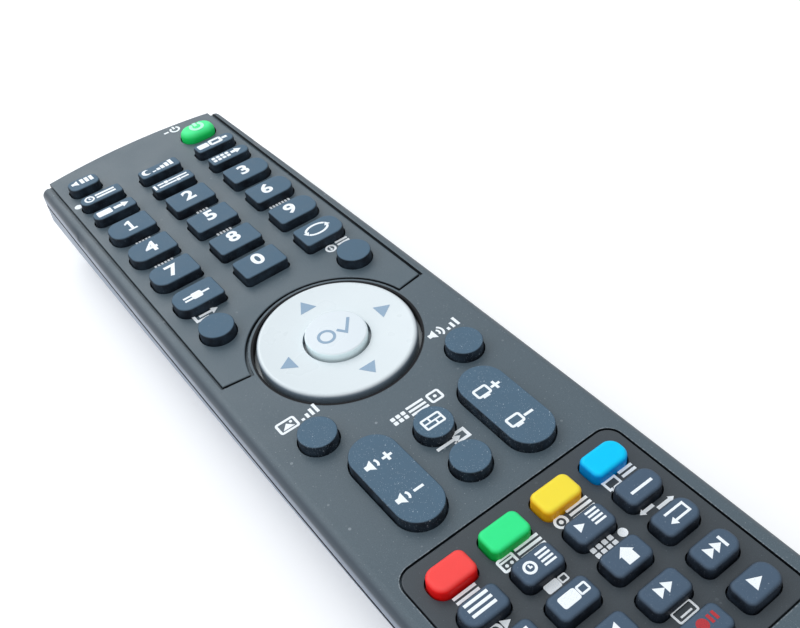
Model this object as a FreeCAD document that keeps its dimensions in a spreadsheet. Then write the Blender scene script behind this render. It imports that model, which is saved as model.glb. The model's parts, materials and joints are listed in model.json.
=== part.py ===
import FreeCAD, Part
import math
import os

# A hand-held remote control: two case halves, two face plates, fifty keys and what they work on.
# X runs across, Y towards the infrared end, Z up from the surface it lies on. Millimetres.

# Driving dimensions
SIZES = [
    # Case outline
    ("body_length", 208.0),
    ("body_width", 51.4),
    ("side_narrowing", 2.2),
    ("widest_from_near_end", 48.4),
    ("infrared_end_radius", 116.5),
    ("near_end_radius", 75.0),
    ("infrared_end_corner", 1.0),
    ("near_end_corner", 9.0),
    ("least_corner", 0.3),
    # Case heights and walls
    ("side_band", 4.2),
    ("parting_groove", 0.45),
    ("parting_groove_depth", 0.7),
    ("deck_edge_round", 2.0),
    ("case_wall", 1.8),
    ("deck_wall", 2.0),
    ("side_round", 4.0),
    ("side_lean", 33.4),
    ("end_band_height", 12.0),
    ("end_round", 8.0),
    ("end_lean", 40.0),
    ("floor_edge_round", 4.0),
    ("tongue_height", 1.0),
    ("tongue_thickness", 0.8),
    ("tongue_base", 0.9),
    ("fit_gap", 0.1),
    # How far a cut reaches past the face where it leaves the solid
    ("past", 1.0),
    # Face plates
    ("plate_thickness", 0.9),
    ("plate_edge_round", 0.25),
    ("upper_rail", 3.45),
    ("upper_rail_far", 2.5),
    ("upper_seam", 0.55),
    ("upper_seam_far", 0.85),
    ("upper_plate_start", 4.0),
    ("upper_plate_drop", 0.8),
    ("ring_lip", 1.45),
    ("lower_plate_margin", 3.6),
    ("lower_plate_length", 39.2),
    ("lower_plate_corner", 2.8),
    ("lower_plate_middle", -66.45),
    ("lower_seam", 0.3),
    # Places of the keys, along the remote from the middle of the navigation ring
    ("ring_from_far_end", 89.6),
    ("upper_key_margin", 1.65),
    ("upper_column_gap", 4.8),
    ("digit_first", 27.1),
    ("digit_pitch", 9.83),
    ("bar_first", 64.8),
    ("bar_pitch", 6.9),
    ("power_place", 80.4),
    ("input_side_shift", 1.0),
    ("input_place", 79.2),
    ("corner_key_margin", 2.95),
    ("corner_key_far", 16.8),
    ("corner_key_near", -17.6),
    ("guide_place", -28.8),
    ("source_place", -38.2),
    ("rocker_side", 11.5),
    ("rocker_place", -33.6),
    ("panel_key_margin", 2.6),
    ("panel_column_gap", 2.85),
    ("panel_first", -52.2),
    ("panel_pitch", 7.25),
    # Key caps
    ("key_height", 2.1),
    ("digit_length", 6.5),
    ("bar_length", 3.6),
    ("upper_key_end", 2.6),
    ("bar_end", 1.6),
    ("upper_key_corner", 0.8),
    ("upper_key_edge", 0.35),
    ("power_width", 8.3),
    ("power_length", 5.6),
    ("power_end", 2.7),
    ("power_height", 2.3),
    ("power_edge", 1.6),
    ("input_width", 7.0),
    ("input_length", 4.4),
    ("input_corner", 1.6),
    ("round_key_radius", 3.45),
    ("round_key_edge", 0.25),
    ("rocker_width", 8.7),
    ("rocker_length", 20.2),
    ("panel_key_length", 4.8),
    ("panel_key_end", 2.1),
    ("panel_key_corner", 1.3),
    ("panel_key_edge", 0.75),
    ("key_gap", 0.3),
    # Inside of the keys
    ("flange_grow", 0.8),
    ("flange_thickness", 0.8),
    ("flange_play", 0.2),
    ("rocker_flange_play", 0.8),
    ("post_radius", 1.5),
    ("post_length", 1.6),
    ("rocker_post_place", 6.0),
    # Navigation ring and its middle key
    ("disc_radius", 15.0),
    ("disc_height", 1.0),
    ("disc_edge", 0.8),
    ("disc_dish", 0.6),
    ("disc_dish_middle", 0.36),
    ("disc_gap", 0.7),
    ("disc_plate", 2.2),
    ("disc_skirt", 1.4),
    ("disc_flange_grow", 1.2),
    ("disc_flange_play", 1.0),
    ("select_radius", 5.85),
    ("select_height", 1.86),
    ("select_edge", 0.35),
    ("select_gap", 0.55),
    ("select_flange_grow", 1.2),
    ("select_post_radius", 2.5),
    ("tilt_play", 0.6),
    ("rocking_inner_gap", 2.0),
    ("rocking_outer_gap", 0.8),
    # Circuit board and rubber mat
    ("board_side_margin", 4.9),
    ("board_near_margin", 14.0),
    ("board_far_margin", 6.0),
    ("board_thickness", 1.2),
    ("post_above_board", 1.3),
    ("mat_side_margin", 0.6),
    ("mat_past_last_row", 9.2),
    ("mat_far_margin", 1.0),
    ("mat_thickness", 0.8),
    ("mat_corner", 2.0),
    ("mat_hole_gap", 0.4),
    ("mat_ring_gap", 0.9),
    ("peg_radius", 1.0),
    ("peg_far_from_ring", 51.6),
    ("peg_near_side", 12.0),
    ("peg_near_from_ring", 87.4),
    ("board_post_radius", 1.6),
    ("board_post_side", 12.0),
    ("board_post_from_ring", -14.4),
    ("board_post_pitch", 42.0),
    ("chip_width", 9.0),
    ("chip_length", 14.0),
    ("chip_height", 1.6),
    ("chip_from_ring", 13.6),
    ("diode_radius", 1.5),
    ("diode_length", 6.0),
    ("diode_base", 1.2),
    # Infrared window
    ("window_width", 16.0),
    ("window_height", 5.0),
    ("window_depth", 2.8),
    ("window_rim", 1.2),
    ("window_rim_depth", 0.8),
    ("window_below_deck", 2.4),
    # Batteries, their bay and its door
    ("cell_radius", 5.25),
    ("cell_length", 43.5),
    ("cell_nub_radius", 1.9),
    ("cell_nub_length", 1.0),
    ("cells_apart", 0.5),
    ("cell_above_door", 0.2),
    ("cell_end_gap", 0.15),
    ("cell_head_gap", 0.1),
    ("bay_from_near_end", 40.0),
    ("bay_side_gap", 0.55),
    ("bay_wall", 1.2),
    ("bay_ceiling", 0.6),
    ("contact_thickness", 0.6),
    ("contact_width", 7.0),
    ("contact_foot", 4.0),
    ("door_end_overlap", 4.0),
    ("door_side_overlap", 0.5),
    ("door_thickness", 1.5),
    ("door_tongue", 1.0),
    ("door_tongue_thickness", 0.8),
    ("door_gap", 0.3),
    ("door_roof", 1.2),
    ("door_rib_width", 12.0),
    ("door_rib_pitch", 2.2),
    ("door_rib_depth", 0.4),
    ("door_rib_from_start", 9.0),
]

# Sizes that follow from those
TIED_SIZES = [
    ("deck_height", "cell_floor + 2 * cell_radius + cell_head_gap + bay_ceiling"
     " + board_thickness + board_below_deck"),
    ("parting_height", "deck_height - side_band"),
    ("ring_place", "body_length / 2 - ring_from_far_end"),
    ("upper_plate_far_half", "body_width / 2 - side_narrowing - upper_rail_far"),
    ("upper_key_width",
     "(2 * upper_plate_far_half - 2 * upper_key_margin - 2 * upper_column_gap) / 3"),
    ("upper_column", "upper_key_width + upper_column_gap"),
    ("input_side", "upper_column + input_side_shift"),
    ("corner_key_side", "body_width / 2 - upper_rail - corner_key_margin - round_key_radius"),
    ("lower_plate_width", "body_width - 2 * lower_plate_margin"),
    ("panel_key_width", "(lower_plate_width - 2 * panel_key_margin - 3 * panel_column_gap) / 4"),
    ("panel_inner_column", "(panel_key_width + panel_column_gap) / 2"),
    ("panel_outer_column", "3 * panel_inner_column"),
    ("panel_last", "panel_first - 4 * panel_pitch"),
    ("upper_plate_cut_radius", "disc_radius + disc_gap + ring_lip"),
    ("disc_flange_radius", "disc_radius + disc_flange_grow"),
    ("select_flange_radius", "select_radius + select_flange_grow"),
    ("rocking_inner_radius", "select_flange_radius + rocking_inner_gap"),
    ("rocking_outer_radius", "disc_radius - disc_skirt - rocking_outer_gap"),
    ("mat_ring_hole", "rocking_outer_radius + mat_ring_gap"),
    ("board_below_deck",
     "deck_wall + flange_play + flange_thickness + post_length + post_above_board"),
    ("board_width", "body_width - 2 * board_side_margin"),
    ("board_start", "board_near_margin - body_length / 2"),
    ("board_end", "body_length / 2 - board_far_margin"),
    ("mat_width", "board_width - 2 * mat_side_margin"),
    ("mat_start", "ring_place + panel_last - mat_past_last_row"),
    ("mat_end", "board_end - mat_far_margin"),
    ("peg_far_place", "ring_place + peg_far_from_ring"),
    ("peg_far_side", "upper_column / 2"),
    ("peg_near_place", "ring_place - peg_near_from_ring"),
    ("board_post_first", "ring_place + board_post_from_ring"),
    ("chip_place", "ring_place + chip_from_ring"),
    ("cell_spacing", "2 * cell_radius + cells_apart"),
    ("cell_floor", "door_thickness + cell_above_door"),
    ("bay_middle", "bay_from_near_end - body_length / 2"),
    ("bay_length", "cell_length + cell_nub_length + 2 * contact_thickness + 2 * cell_end_gap"),
    ("bay_width", "cell_spacing + 2 * cell_radius + 2 * bay_side_gap"),
    ("door_start", "bay_middle + bay_length / 2 + door_end_overlap"),
    ("door_width", "bay_width + 2 * door_side_overlap"),
    ("door_rib_place", "door_start - door_rib_from_start"),
]

BOARD_POST_PAIRS = 3
DOOR_RIBS = 4

doc = FreeCAD.newDocument("remote_control")
sheet = doc.addObject("Spreadsheet::Sheet", "sizes")
rows = [(alias, str(number)) for alias, number in SIZES]
rows += [(alias, "=" + formula) for alias, formula in TIED_SIZES]
for row, (alias, entry) in enumerate(rows, start=1):
    sheet.set("A%d" % row, alias)
    sheet.set("B%d" % row, entry)
    sheet.setAlias("B%d" % row, alias)
doc.recompute()


def size(alias):
    """The number that the spreadsheet holds under this name."""
    return float(sheet.get(alias))


def vec(x, y, z=0.0):
    return FreeCAD.Vector(x, y, z)


# Outlines

def line(a, b):
    return Part.LineSegment(vec(*a), vec(*b))


def arc(a, middle, b):
    return Part.Arc(vec(*a), vec(*middle), vec(*b))


def ring(x, y, radius):
    return Part.Circle(vec(x, y), vec(0, 0, 1), radius)


def polygon(points):
    """Straight edges round a closed list of points."""
    return [line(p, q) for p, q in zip(points, points[1:] + points[:1])]


def rounded(x, y, width, length, radii):
    """A rectangle about (x, y) with its own radius at each corner, from the near left one round."""
    half_w, half_l = width / 2, length / 2
    corners = [(-1, -1, 180), (1, -1, 270), (1, 1, 0), (-1, 1, 90)]
    edges, ends = [], []
    for (sx, sy, start), radius in zip(corners, radii):
        cx, cy = x + sx * (half_w - radius), y + sy * (half_l - radius)
        on_arc = [(cx + radius * math.cos(math.radians(start + turn)),
                   cy + radius * math.sin(math.radians(start + turn))) for turn in (0, 45, 90)]
        edges.append(arc(*on_arc))
        ends.append((on_arc[0], on_arc[2]))
    for (_, leave), (reach, _) in zip(ends, ends[1:] + ends[:1]):
        if math.dist(leave, reach) > 1e-6:
            edges.append(line(leave, reach))
    return edges


def flipped(p, s):
    """The point, or its mirror image about the middle where s is -1."""
    return (s * p[0], p[1])


def point_from(centre, towards, distance):
    """The point at this distance from the centre, on the ray towards the other point."""
    span = math.dist(centre, towards)
    return tuple(c + (t - c) * distance / span for c, t in zip(centre, towards))


def corner_centre(first, first_radius, second, second_radius, up):
    """Where two circles meet on the +X side, at the higher or the lower of the two places."""
    span = math.dist(first, second)
    along = (span ** 2 + first_radius ** 2 - second_radius ** 2) / (2 * span)
    across = math.sqrt(first_radius ** 2 - along ** 2)
    ux, uy = (second[0] - first[0]) / span, (second[1] - first[1]) / span
    foot = (first[0] + ux * along, first[1] + uy * along)
    places = [(foot[0] - uy * across * s, foot[1] + ux * across * s) for s in (1, -1)]
    places = [p for p in places if p[0] > 0]
    return max(places, key=lambda p: p[1] if up else -p[1])


def arc_run(centre, start, end, count=12):
    """The arc about centre from start to end, as count equal arcs of three points each."""
    radius = math.dist(centre, start)
    first, last = (math.atan2(p[1] - centre[1], p[0] - centre[0]) for p in (start, end))
    step = (last - first) / (2 * count)
    along = [(centre[0] + radius * math.cos(first + i * step),
              centre[1] + radius * math.sin(first + i * step)) for i in range(2 * count + 1)]
    return [along[i:i + 3] for i in range(0, 2 * count, 2)]


def case_outline(inset):
    """The case seen from above, moved inwards: four long arcs joined by round corners."""
    half_length = size("body_length") / 2
    far_radius, near_radius = size("infrared_end_radius"), size("near_end_radius")
    narrowing = size("side_narrowing")
    widest_y = size("widest_from_near_end") - half_length
    reach = half_length - widest_y
    side_radius = (reach ** 2 + narrowing ** 2) / (2 * narrowing)
    side_centre = (size("body_width") / 2 - side_radius, widest_y)
    far_centre = (0, half_length - far_radius)
    near_centre = (0, near_radius - half_length)
    side, far, near = side_radius - inset, far_radius - inset, near_radius - inset
    joints = []
    for centre, radius, corner, up in ((far_centre, far, size("infrared_end_corner"), True),
                                       (near_centre, near, size("near_end_corner"), False)):
        corner = max(corner - inset, size("least_corner"))
        middle = corner_centre(side_centre, side - corner, centre, radius - corner, up)
        on_side = point_from(side_centre, middle, side)
        on_end = point_from(centre, middle, radius)
        halfway = ((on_side[0] + on_end[0]) / 2, (on_side[1] + on_end[1]) / 2)
        joints.append((on_side, point_from(middle, halfway, corner), on_end))
    far_joint, near_joint = joints
    edges = [arc(flipped(end, -1), (0, tip), end)
             for end, tip in ((far_joint[2], half_length - inset),
                              (near_joint[2], inset - half_length))]
    for s in (1, -1):
        flip = lambda p: flipped(p, s)
        edges += [arc(*[flip(p) for p in piece])
                  for piece in arc_run(side_centre, far_joint[0], near_joint[0])]
        edges.append(arc(*[flip(p) for p in far_joint]))
        edges.append(arc(*[flip(p) for p in near_joint]))
    return edges


def hull_section(half_width, top, band, radius, lean, base, floor_radius):
    """A boat-shaped section: upright to the band, round by the lean, straight, round to flat."""
    turn, rest = math.radians(lean), math.radians(90 - lean)
    shoulder = half_width - radius
    low = base + floor_radius
    leave = (shoulder + radius * math.cos(turn), band - radius * math.sin(turn))
    corner_x = leave[0] - (leave[1] - base) * math.tan(turn)
    foot_x = corner_x - floor_radius * math.tan(rest / 2)
    on_foot = [(foot_x + floor_radius * math.sin(a), low - floor_radius * math.cos(a))
               for a in (0, rest / 2, rest)]
    on_shoulder = [(shoulder + radius * math.cos(a), band - radius * math.sin(a))
                   for a in (0, turn / 2, turn)]
    edges = []
    for s in (-1, 1):
        flip = lambda p: flipped(p, s)
        if top > band:
            edges.append(line((s * half_width, top), (s * half_width, band)))
        edges.append(arc(*[flip(p) for p in on_shoulder]))
        edges.append(line(flip(leave), flip(on_foot[2])))
        edges.append(arc(*[flip(p) for p in on_foot]))
    edges.append(line((-half_width, top), (half_width, top)))
    edges.append(line((-foot_x, base), (foot_x, base)))
    return edges


def upper_plate_outline(grow, grow_far, past_end):
    """The upper plate from above: straight sides, arched far edge, round cut about the ring."""
    half_length = size("body_length") / 2
    half_width = size("body_width") / 2
    near_half = half_width - size("upper_rail") + grow
    far_half = size("upper_plate_far_half") + grow_far
    radius = size("infrared_end_radius")
    far_at = lambda x: half_length - radius + math.sqrt(radius ** 2 - x ** 2) + past_end
    middle = size("ring_place")
    start = middle + size("upper_plate_start") - grow
    cut = size("upper_plate_cut_radius") - grow
    inner_y = start - size("upper_plate_drop")
    inner_x = math.sqrt(cut ** 2 - (inner_y - middle) ** 2)
    edges = [arc((-far_half, far_at(far_half)), (0, half_length + past_end),
                 (far_half, far_at(far_half))),
             arc((-inner_x, inner_y), (0, middle + cut), (inner_x, inner_y))]
    for s in (1, -1):
        edges.append(line((s * far_half, far_at(far_half)), (s * near_half, start)))
        edges.append(line((s * near_half, start), (s * inner_x, inner_y)))
    return edges


def lower_plate_outline(grow):
    return rounded(0, size("ring_place") + size("lower_plate_middle"),
                   size("lower_plate_width") + 2 * grow, size("lower_plate_length") + 2 * grow,
                   [size("lower_plate_corner") + grow] * 4)


# Building blocks

def new_body(label):
    return doc.addObject("PartDesign::Body", label)


def sketch(body, name, geometry, height="0", plane="XY_Plane"):
    """A sketch on one of the body's own planes, raised by an expression on the spreadsheet."""
    made = body.newObject("Sketcher::SketchObject", name)
    support = next(f for f in body.Origin.OriginFeatures if f.Role == plane)
    made.AttachmentSupport = (support, [""])
    made.MapMode = "FlatFace"
    made.setExpression("AttachmentOffset.Base.z", height)
    made.addGeometry(geometry, False)
    return made


def pad(body, name, geometry, height, length):
    made = body.newObject("PartDesign::Pad", name)
    made.Profile = sketch(body, name + "_outline", geometry, height)
    made.setExpression("Length", length)
    doc.recompute()
    return made


def pocket(body, name, geometry, height, depth=None, upwards=False):
    """A cut from this height, down unless told otherwise, right through if it has no depth."""
    before = body.Shape.Volume
    made = body.newObject("PartDesign::Pocket", name)
    made.Profile = sketch(body, name + "_outline", geometry, height)
    made.Reversed = upwards
    if depth is None:
        made.Type = "ThroughAll"
    else:
        made.setExpression("Length", depth)
    doc.recompute()
    if body.Shape.Volume > before - 1e-6:
        raise RuntimeError(name + " cuts nothing")


def round_edges(body, base, name, radius, chosen):
    """A fillet on the edges of the last feature that the test picks."""
    made = body.newObject("PartDesign::Fillet", name)
    picked = ["Edge%d" % i for i, edge in enumerate(base.Shape.Edges, start=1) if chosen(edge)]
    made.Base = (base, picked)
    made.setExpression("Radius", radius)
    doc.recompute()


def level(height):
    """Picks the edges that lie flat at this height."""
    return lambda edge: (abs(edge.BoundBox.ZMin - height) < 1e-4
                         and abs(edge.BoundBox.ZMax - height) < 1e-4)


def turned(body, name, geometry):
    """A solid of revolution about Z from a section in the XZ plane."""
    made = body.newObject("PartDesign::Revolution", name)
    section = sketch(body, name + "_section", geometry, "0", "XZ_Plane")
    made.Profile = section
    made.ReferenceAxis = (section, ["V_Axis"])
    made.Angle = 360
    doc.recompute()


def place(item, x="0", y="0"):
    item.setExpression("Placement.Base.x", x)
    item.setExpression("Placement.Base.y", y)


UPRIGHT = FreeCAD.Rotation(vec(1, 0), 90)
PLANE_TURNS = {
    "XY": FreeCAD.Rotation(),
    "XZ": UPRIGHT,
    "YZ": FreeCAD.Rotation(vec(0, 0, 1), 90).multiply(UPRIGHT),
}


def extrusion(name, geometry, plane, length, height="0"):
    """A prism from a free sketch: up from XY, along Y from XZ, or along X from YZ, centred."""
    base = doc.addObject("Sketcher::SketchObject", name + "_outline")
    base.Placement = FreeCAD.Placement(vec(0, 0), PLANE_TURNS[plane])
    base.addGeometry(geometry, False)
    if plane == "XY":
        base.setExpression("Placement.Base.z", height)
    made = doc.addObject("Part::Extrusion", name)
    made.Base = base
    made.DirMode = "Normal"
    made.Solid = True
    made.Symmetric = plane != "XY"
    made.setExpression("LengthFwd", length)
    doc.recompute()
    return made


def block(name, corner, extent):
    """A box from expressions for its low corner and its size along X, Y and Z."""
    made = doc.addObject("Part::Box", name)
    for axis, at, by, side in zip("xyz", corner, extent, ("Length", "Width", "Height")):
        made.setExpression("Placement.Base." + axis, at)
        made.setExpression(side, by)
    return made


def rod(name, radius, length, at, axis=(0, 0, 1)):
    made = doc.addObject("Part::Cylinder", name)
    made.setExpression("Radius", radius)
    made.setExpression("Height", length)
    made.Placement = FreeCAD.Placement(vec(0, 0, 0), FreeCAD.Rotation(vec(0, 0, 1), vec(*axis)))
    for letter, place_at in zip("xyz", at):
        made.setExpression("Placement.Base." + letter, place_at)
    return made


def joined(name, items):
    made = doc.addObject("Part::MultiFuse", name)
    made.Shapes = items
    doc.recompute()
    return made


def shared(name, items):
    made = doc.addObject("Part::MultiCommon", name)
    made.Shapes = items
    doc.recompute()
    return made


def without(name, base, tools):
    """The base less the tools."""
    made = doc.addObject("Part::Cut", name)
    made.Base = base
    made.Tool = tools[0] if len(tools) == 1 else joined(name + "_tools", tools)
    doc.recompute()
    if made.Shape.Volume > base.Shape.Volume - 1e-6:
        raise RuntimeError(name + " cuts nothing")
    return made


nodes = []
caps = []

# Keys

DECK_UNDER = "sizes.deck_height - sizes.deck_wall"


def make_key(label, outline, x, y, height="sizes.key_height", edge="sizes.upper_key_edge",
             play="sizes.flange_play", posts=((0, 0),), plate=None):
    """One key: a cap through the deck, a flange that holds it in, and posts down to the board."""
    body = new_body(label)
    place(body, x, y)
    flange_top = "%s - %s" % (DECK_UNDER, play)
    cap = pad(body, label + "_cap", outline(0, 0, 0), flange_top,
              "sizes.deck_wall + %s + %s" % (play, height))
    top = cap.Shape.BoundBox.ZMax
    round_edges(body, cap, label + "_edge", edge, level(top))
    pad(body, label + "_flange", outline(0, 0, size("flange_grow")),
        flange_top + " - sizes.flange_thickness", "sizes.flange_thickness")
    pad(body, label + "_post", [ring(px, py, size("post_radius")) for px, py in posts],
        "%s - sizes.flange_play - sizes.flange_thickness - sizes.post_length" % DECK_UNDER,
        "sizes.post_length + sizes.flange_play + sizes.flange_thickness / 2 - %s" % play)
    caps.append({"body": body, "outline": outline, "posts": posts, "plate": plate})
    nodes.append(body)


def side_key(side, length, end, corner, width="upper_key_width"):
    """An outline with round outer corners on its outer side: -1 left, 1 right, 0 neither."""
    def outline(x, y, grow):
        outer, inner = size(end) + grow, size(corner) + grow
        left, right = (outer if side < 0 else inner), (outer if side > 0 else inner)
        return rounded(x, y, size(width) + 2 * grow, size(length) + 2 * grow,
                       [left, right, right, left])
    return outline


def round_key(x, y, grow):
    return [ring(x, y, size("round_key_radius") + grow)]


def rocker(x, y, grow):
    half = size("rocker_width") / 2 + grow
    return rounded(x, y, 2 * half, size("rocker_length") + 2 * grow, [half] * 4)


def from_ring(place_name):
    return "sizes.ring_place + sizes." + place_name


def make_upper_keys():
    """Three columns of number and bar keys, a power key, an input key and two round keys."""
    digit_rows = (("socket", "0", "swap"), ("7", "8", "9"), ("4", "5", "6"), ("1", "2", "3"))
    for n, row in enumerate(digit_rows):
        for side, name in zip((-1, 0, 1), row):
            make_key("key_" + name, side_key(side, "digit_length", "upper_key_end",
                                             "upper_key_corner"),
                     "%d * sizes.upper_column" % side,
                     from_ring("digit_first") + " + %d * sizes.digit_pitch" % n, plate="upper")
    for n in range(2):
        for column, side in (("left", -1), ("middle", 0), ("right", 1)):
            make_key("key_bar_%s_%d" % (column, n + 1),
                     side_key(side, "bar_length", "bar_end", "upper_key_corner"),
                     "%d * sizes.upper_column" % side,
                     from_ring("bar_first") + " + %d * sizes.bar_pitch" % n, plate="upper")
    make_key("key_power", side_key(0, "power_length", "power_end", "power_end", "power_width"),
             "sizes.upper_column", from_ring("power_place"), "sizes.power_height",
             "sizes.power_edge", plate="upper")
    make_key("key_input", side_key(0, "input_length", "input_corner", "input_corner",
                                   "input_width"),
             "-sizes.input_side", from_ring("input_place"), plate="upper")
    for name, side in (("exit", -1), ("info", 1)):
        make_key("key_" + name, round_key, "%d * sizes.corner_key_side" % side,
                 from_ring("corner_key_far"), edge="sizes.round_key_edge", plate="upper")


def make_middle_keys():
    """Four round keys and two rockers below the ring."""
    for name, side in (("picture", -1), ("sound", 1)):
        make_key("key_" + name, round_key, "%d * sizes.corner_key_side" % side,
                 from_ring("corner_key_near"), edge="sizes.round_key_edge")
    for name in ("guide", "source"):
        make_key("key_" + name, round_key, "0", from_ring(name + "_place"),
                 edge="sizes.round_key_edge")
    reach = size("rocker_post_place")
    for name, side in (("volume", -1), ("channel", 1)):
        make_key("rocker_" + name, rocker, "%d * sizes.rocker_side" % side,
                 from_ring("rocker_place"), edge="sizes.round_key_edge",
                 play="sizes.rocker_flange_play", posts=((0, reach), (0, -reach)))


def make_panel_keys():
    """Five rows of four keys; the outer ones are round on their outer side."""
    rows = (("red", "green", "yellow", "blue"), ("text", "timer", "list", "subtitle"),
            ("media", "usb", "home", "return"), ("previous", "rewind", "forward", "next"),
            ("pause", "stop", "record", "play"))
    columns = ((-1, "outer", -1), (-1, "inner", 0), (1, "inner", 0), (1, "outer", 1))
    for n, row in enumerate(rows):
        for (sign, column, side), name in zip(columns, row):
            make_key("key_" + name, side_key(side, "panel_key_length", "panel_key_end",
                                             "panel_key_corner", "panel_key_width"),
                     "%d * sizes.panel_%s_column" % (sign, column),
                     from_ring("panel_first") + " - %d * sizes.panel_pitch" % n,
                     edge="sizes.panel_key_edge", plate="lower")


# Navigation ring

def make_navigation():
    """The dished disc that tilts, the select key in its hole and the rubber ring under it."""
    deck, under = size("deck_height"), size("deck_height") - size("deck_wall")
    top = deck + size("disc_height")
    radius, edge = size("disc_radius"), size("disc_edge")
    hole = size("select_radius") + size("select_gap")
    plate_under = top - size("disc_plate")
    flange_top = under - size("disc_flange_play")
    flange_low = flange_top - size("flange_thickness")
    skirt = radius - size("disc_skirt")
    wide = size("disc_flange_radius")
    bend = edge * math.cos(math.radians(45))
    dish, halfway = size("disc_dish"), size("disc_dish_middle")
    disc = new_body("nav_disc")
    turned(disc, "nav_disc_turn", [
        line((hole, plate_under), (hole, top - dish)),
        arc((hole, top - dish), ((hole + radius - edge) / 2, top - halfway),
            (radius - edge, top)),
        arc((radius - edge, top), (radius - edge + bend, top - edge + bend), (radius, top - edge)),
        line((radius, top - edge), (radius, flange_top)),
        line((radius, flange_top), (wide, flange_top)),
        line((wide, flange_top), (wide, flange_low)),
        line((wide, flange_low), (skirt, flange_low)),
        line((skirt, flange_low), (skirt, plate_under)),
        line((skirt, plate_under), (hole, plate_under))])
    select_top = deck + size("select_height")
    small, soft = size("select_radius"), size("select_edge")
    bend = soft * math.cos(math.radians(45))
    collar, collar_top = size("select_flange_radius"), plate_under - size("tilt_play")
    collar_low = collar_top - size("flange_thickness")
    post = size("select_post_radius")
    post_low = under - size("flange_play") - size("flange_thickness") - size("post_length")
    select = new_body("key_select")
    turned(select, "key_select_turn", [
        line((0, post_low), (post, post_low)),
        line((post, post_low), (post, collar_low)),
        line((post, collar_low), (collar, collar_low)),
        line((collar, collar_low), (collar, collar_top)),
        line((collar, collar_top), (small, collar_top)),
        line((small, collar_top), (small, select_top - soft)),
        arc((small, select_top - soft), (small - soft + bend, select_top - soft + bend),
            (small - soft, select_top)),
        line((small - soft, select_top), (0, select_top)),
        line((0, select_top), (0, post_low))])
    rocking_top = plate_under - size("tilt_play")
    rocking_low = deck - size("board_below_deck") + size("tilt_play")
    inner, outer = size("rocking_inner_radius"), size("rocking_outer_radius")
    rubber = new_body("nav_rocking_ring")
    turned(rubber, "nav_rocking_ring_turn", polygon([
        (inner, rocking_low), (outer, rocking_low), (outer, rocking_top), (inner, rocking_top)]))
    for body in (disc, select, rubber):
        place(body, "0", "sizes.ring_place")
        nodes.append(body)


# Case, plates and window

def apertures(plate=None):
    """The outlines round every key cap, or round those that come through one plate."""
    edges = []
    for cap in caps:
        if plate is None or cap["plate"] == plate:
            at = cap["body"].Placement.Base
            edges += cap["outline"](at.x, at.y, size("key_gap"))
    return edges


def window_way(rim):
    """The plan of the gap that the window needs: through the wall, or behind it for its rim."""
    grow = size("fit_gap") + (size("window_rim") if rim else 0)
    half = size("window_width") / 2 + grow
    end = size("body_length") / 2
    back = end - size("window_depth") - size("fit_gap")
    front = end - size("window_depth") + size("window_rim_depth") + size("fit_gap")
    if not rim:
        front = end + size("past")
    return polygon([(-half, back), (half, back), (half, front), (-half, front)])


def peg_rings(grow):
    """The four pegs that hold the board down, two at each end."""
    return [ring(s * size(side), size(along), size("peg_radius") + grow) for s in (-1, 1)
            for side, along in (("peg_far_side", "peg_far_place"),
                                ("peg_near_side", "peg_near_place"))]


def make_top_case():
    """The upper shell: deck, side walls, two plate seats and an aperture for each key."""
    body = new_body("top_case")
    shell = pad(body, "top_case_block", case_outline(0), "sizes.parting_height",
                "sizes.deck_height - sizes.parting_height")
    round_edges(body, shell, "deck_edge", "sizes.deck_edge_round", level(size("deck_height")))
    pocket(body, "top_cavity", case_outline(size("case_wall")), "sizes.parting_height",
           DECK_UNDER + " - sizes.parting_height", upwards=True)
    pocket(body, "seam_line",
           case_outline(-size("past")) + case_outline(size("parting_groove_depth")),
           "sizes.parting_height", "sizes.parting_groove", upwards=True)
    pocket(body, "upper_seat",
           upper_plate_outline(size("upper_seam"), size("upper_seam_far"), size("past")),
           "sizes.deck_height", "sizes.plate_thickness")
    pocket(body, "lower_seat", lower_plate_outline(size("lower_seam")),
           "sizes.deck_height", "sizes.plate_thickness")
    pocket(body, "key_apertures", apertures(), "sizes.deck_height")
    pocket(body, "ring_well", [ring(0, size("ring_place"),
                                    size("disc_radius") + size("disc_gap"))],
           "sizes.deck_height")
    pad(body, "pegs", peg_rings(0), "sizes.deck_height - sizes.board_below_deck",
        "sizes.board_below_deck - sizes.deck_wall / 2 - sizes.plate_thickness / 2")
    for name, rim in (("window_gap", False), ("window_rim_gap", True)):
        pocket(body, name, window_way(rim),
               "sizes.deck_height - sizes.window_below_deck + sizes.fit_gap")
    nodes.append(body)


def make_upper_plate():
    body = new_body("upper_faceplate")
    base = "sizes.deck_height - sizes.plate_thickness"
    slab = pad(body, "upper_slab", upper_plate_outline(0, 0, 0), base, "sizes.plate_thickness")
    round_edges(body, slab, "upper_slab_edge", "sizes.plate_edge_round",
                level(size("deck_height")))
    pocket(body, "upper_apertures", apertures("upper"), "sizes.deck_height")
    nodes.append(body)


def make_lower_plate():
    body = new_body("lower_faceplate")
    base = "sizes.deck_height - sizes.plate_thickness"
    slab = pad(body, "lower_slab", lower_plate_outline(0), base, "sizes.plate_thickness")
    round_edges(body, slab, "lower_slab_edge", "sizes.plate_edge_round",
                level(size("deck_height")))
    pocket(body, "lower_apertures", apertures("lower"), "sizes.deck_height")
    nodes.append(body)


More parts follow.
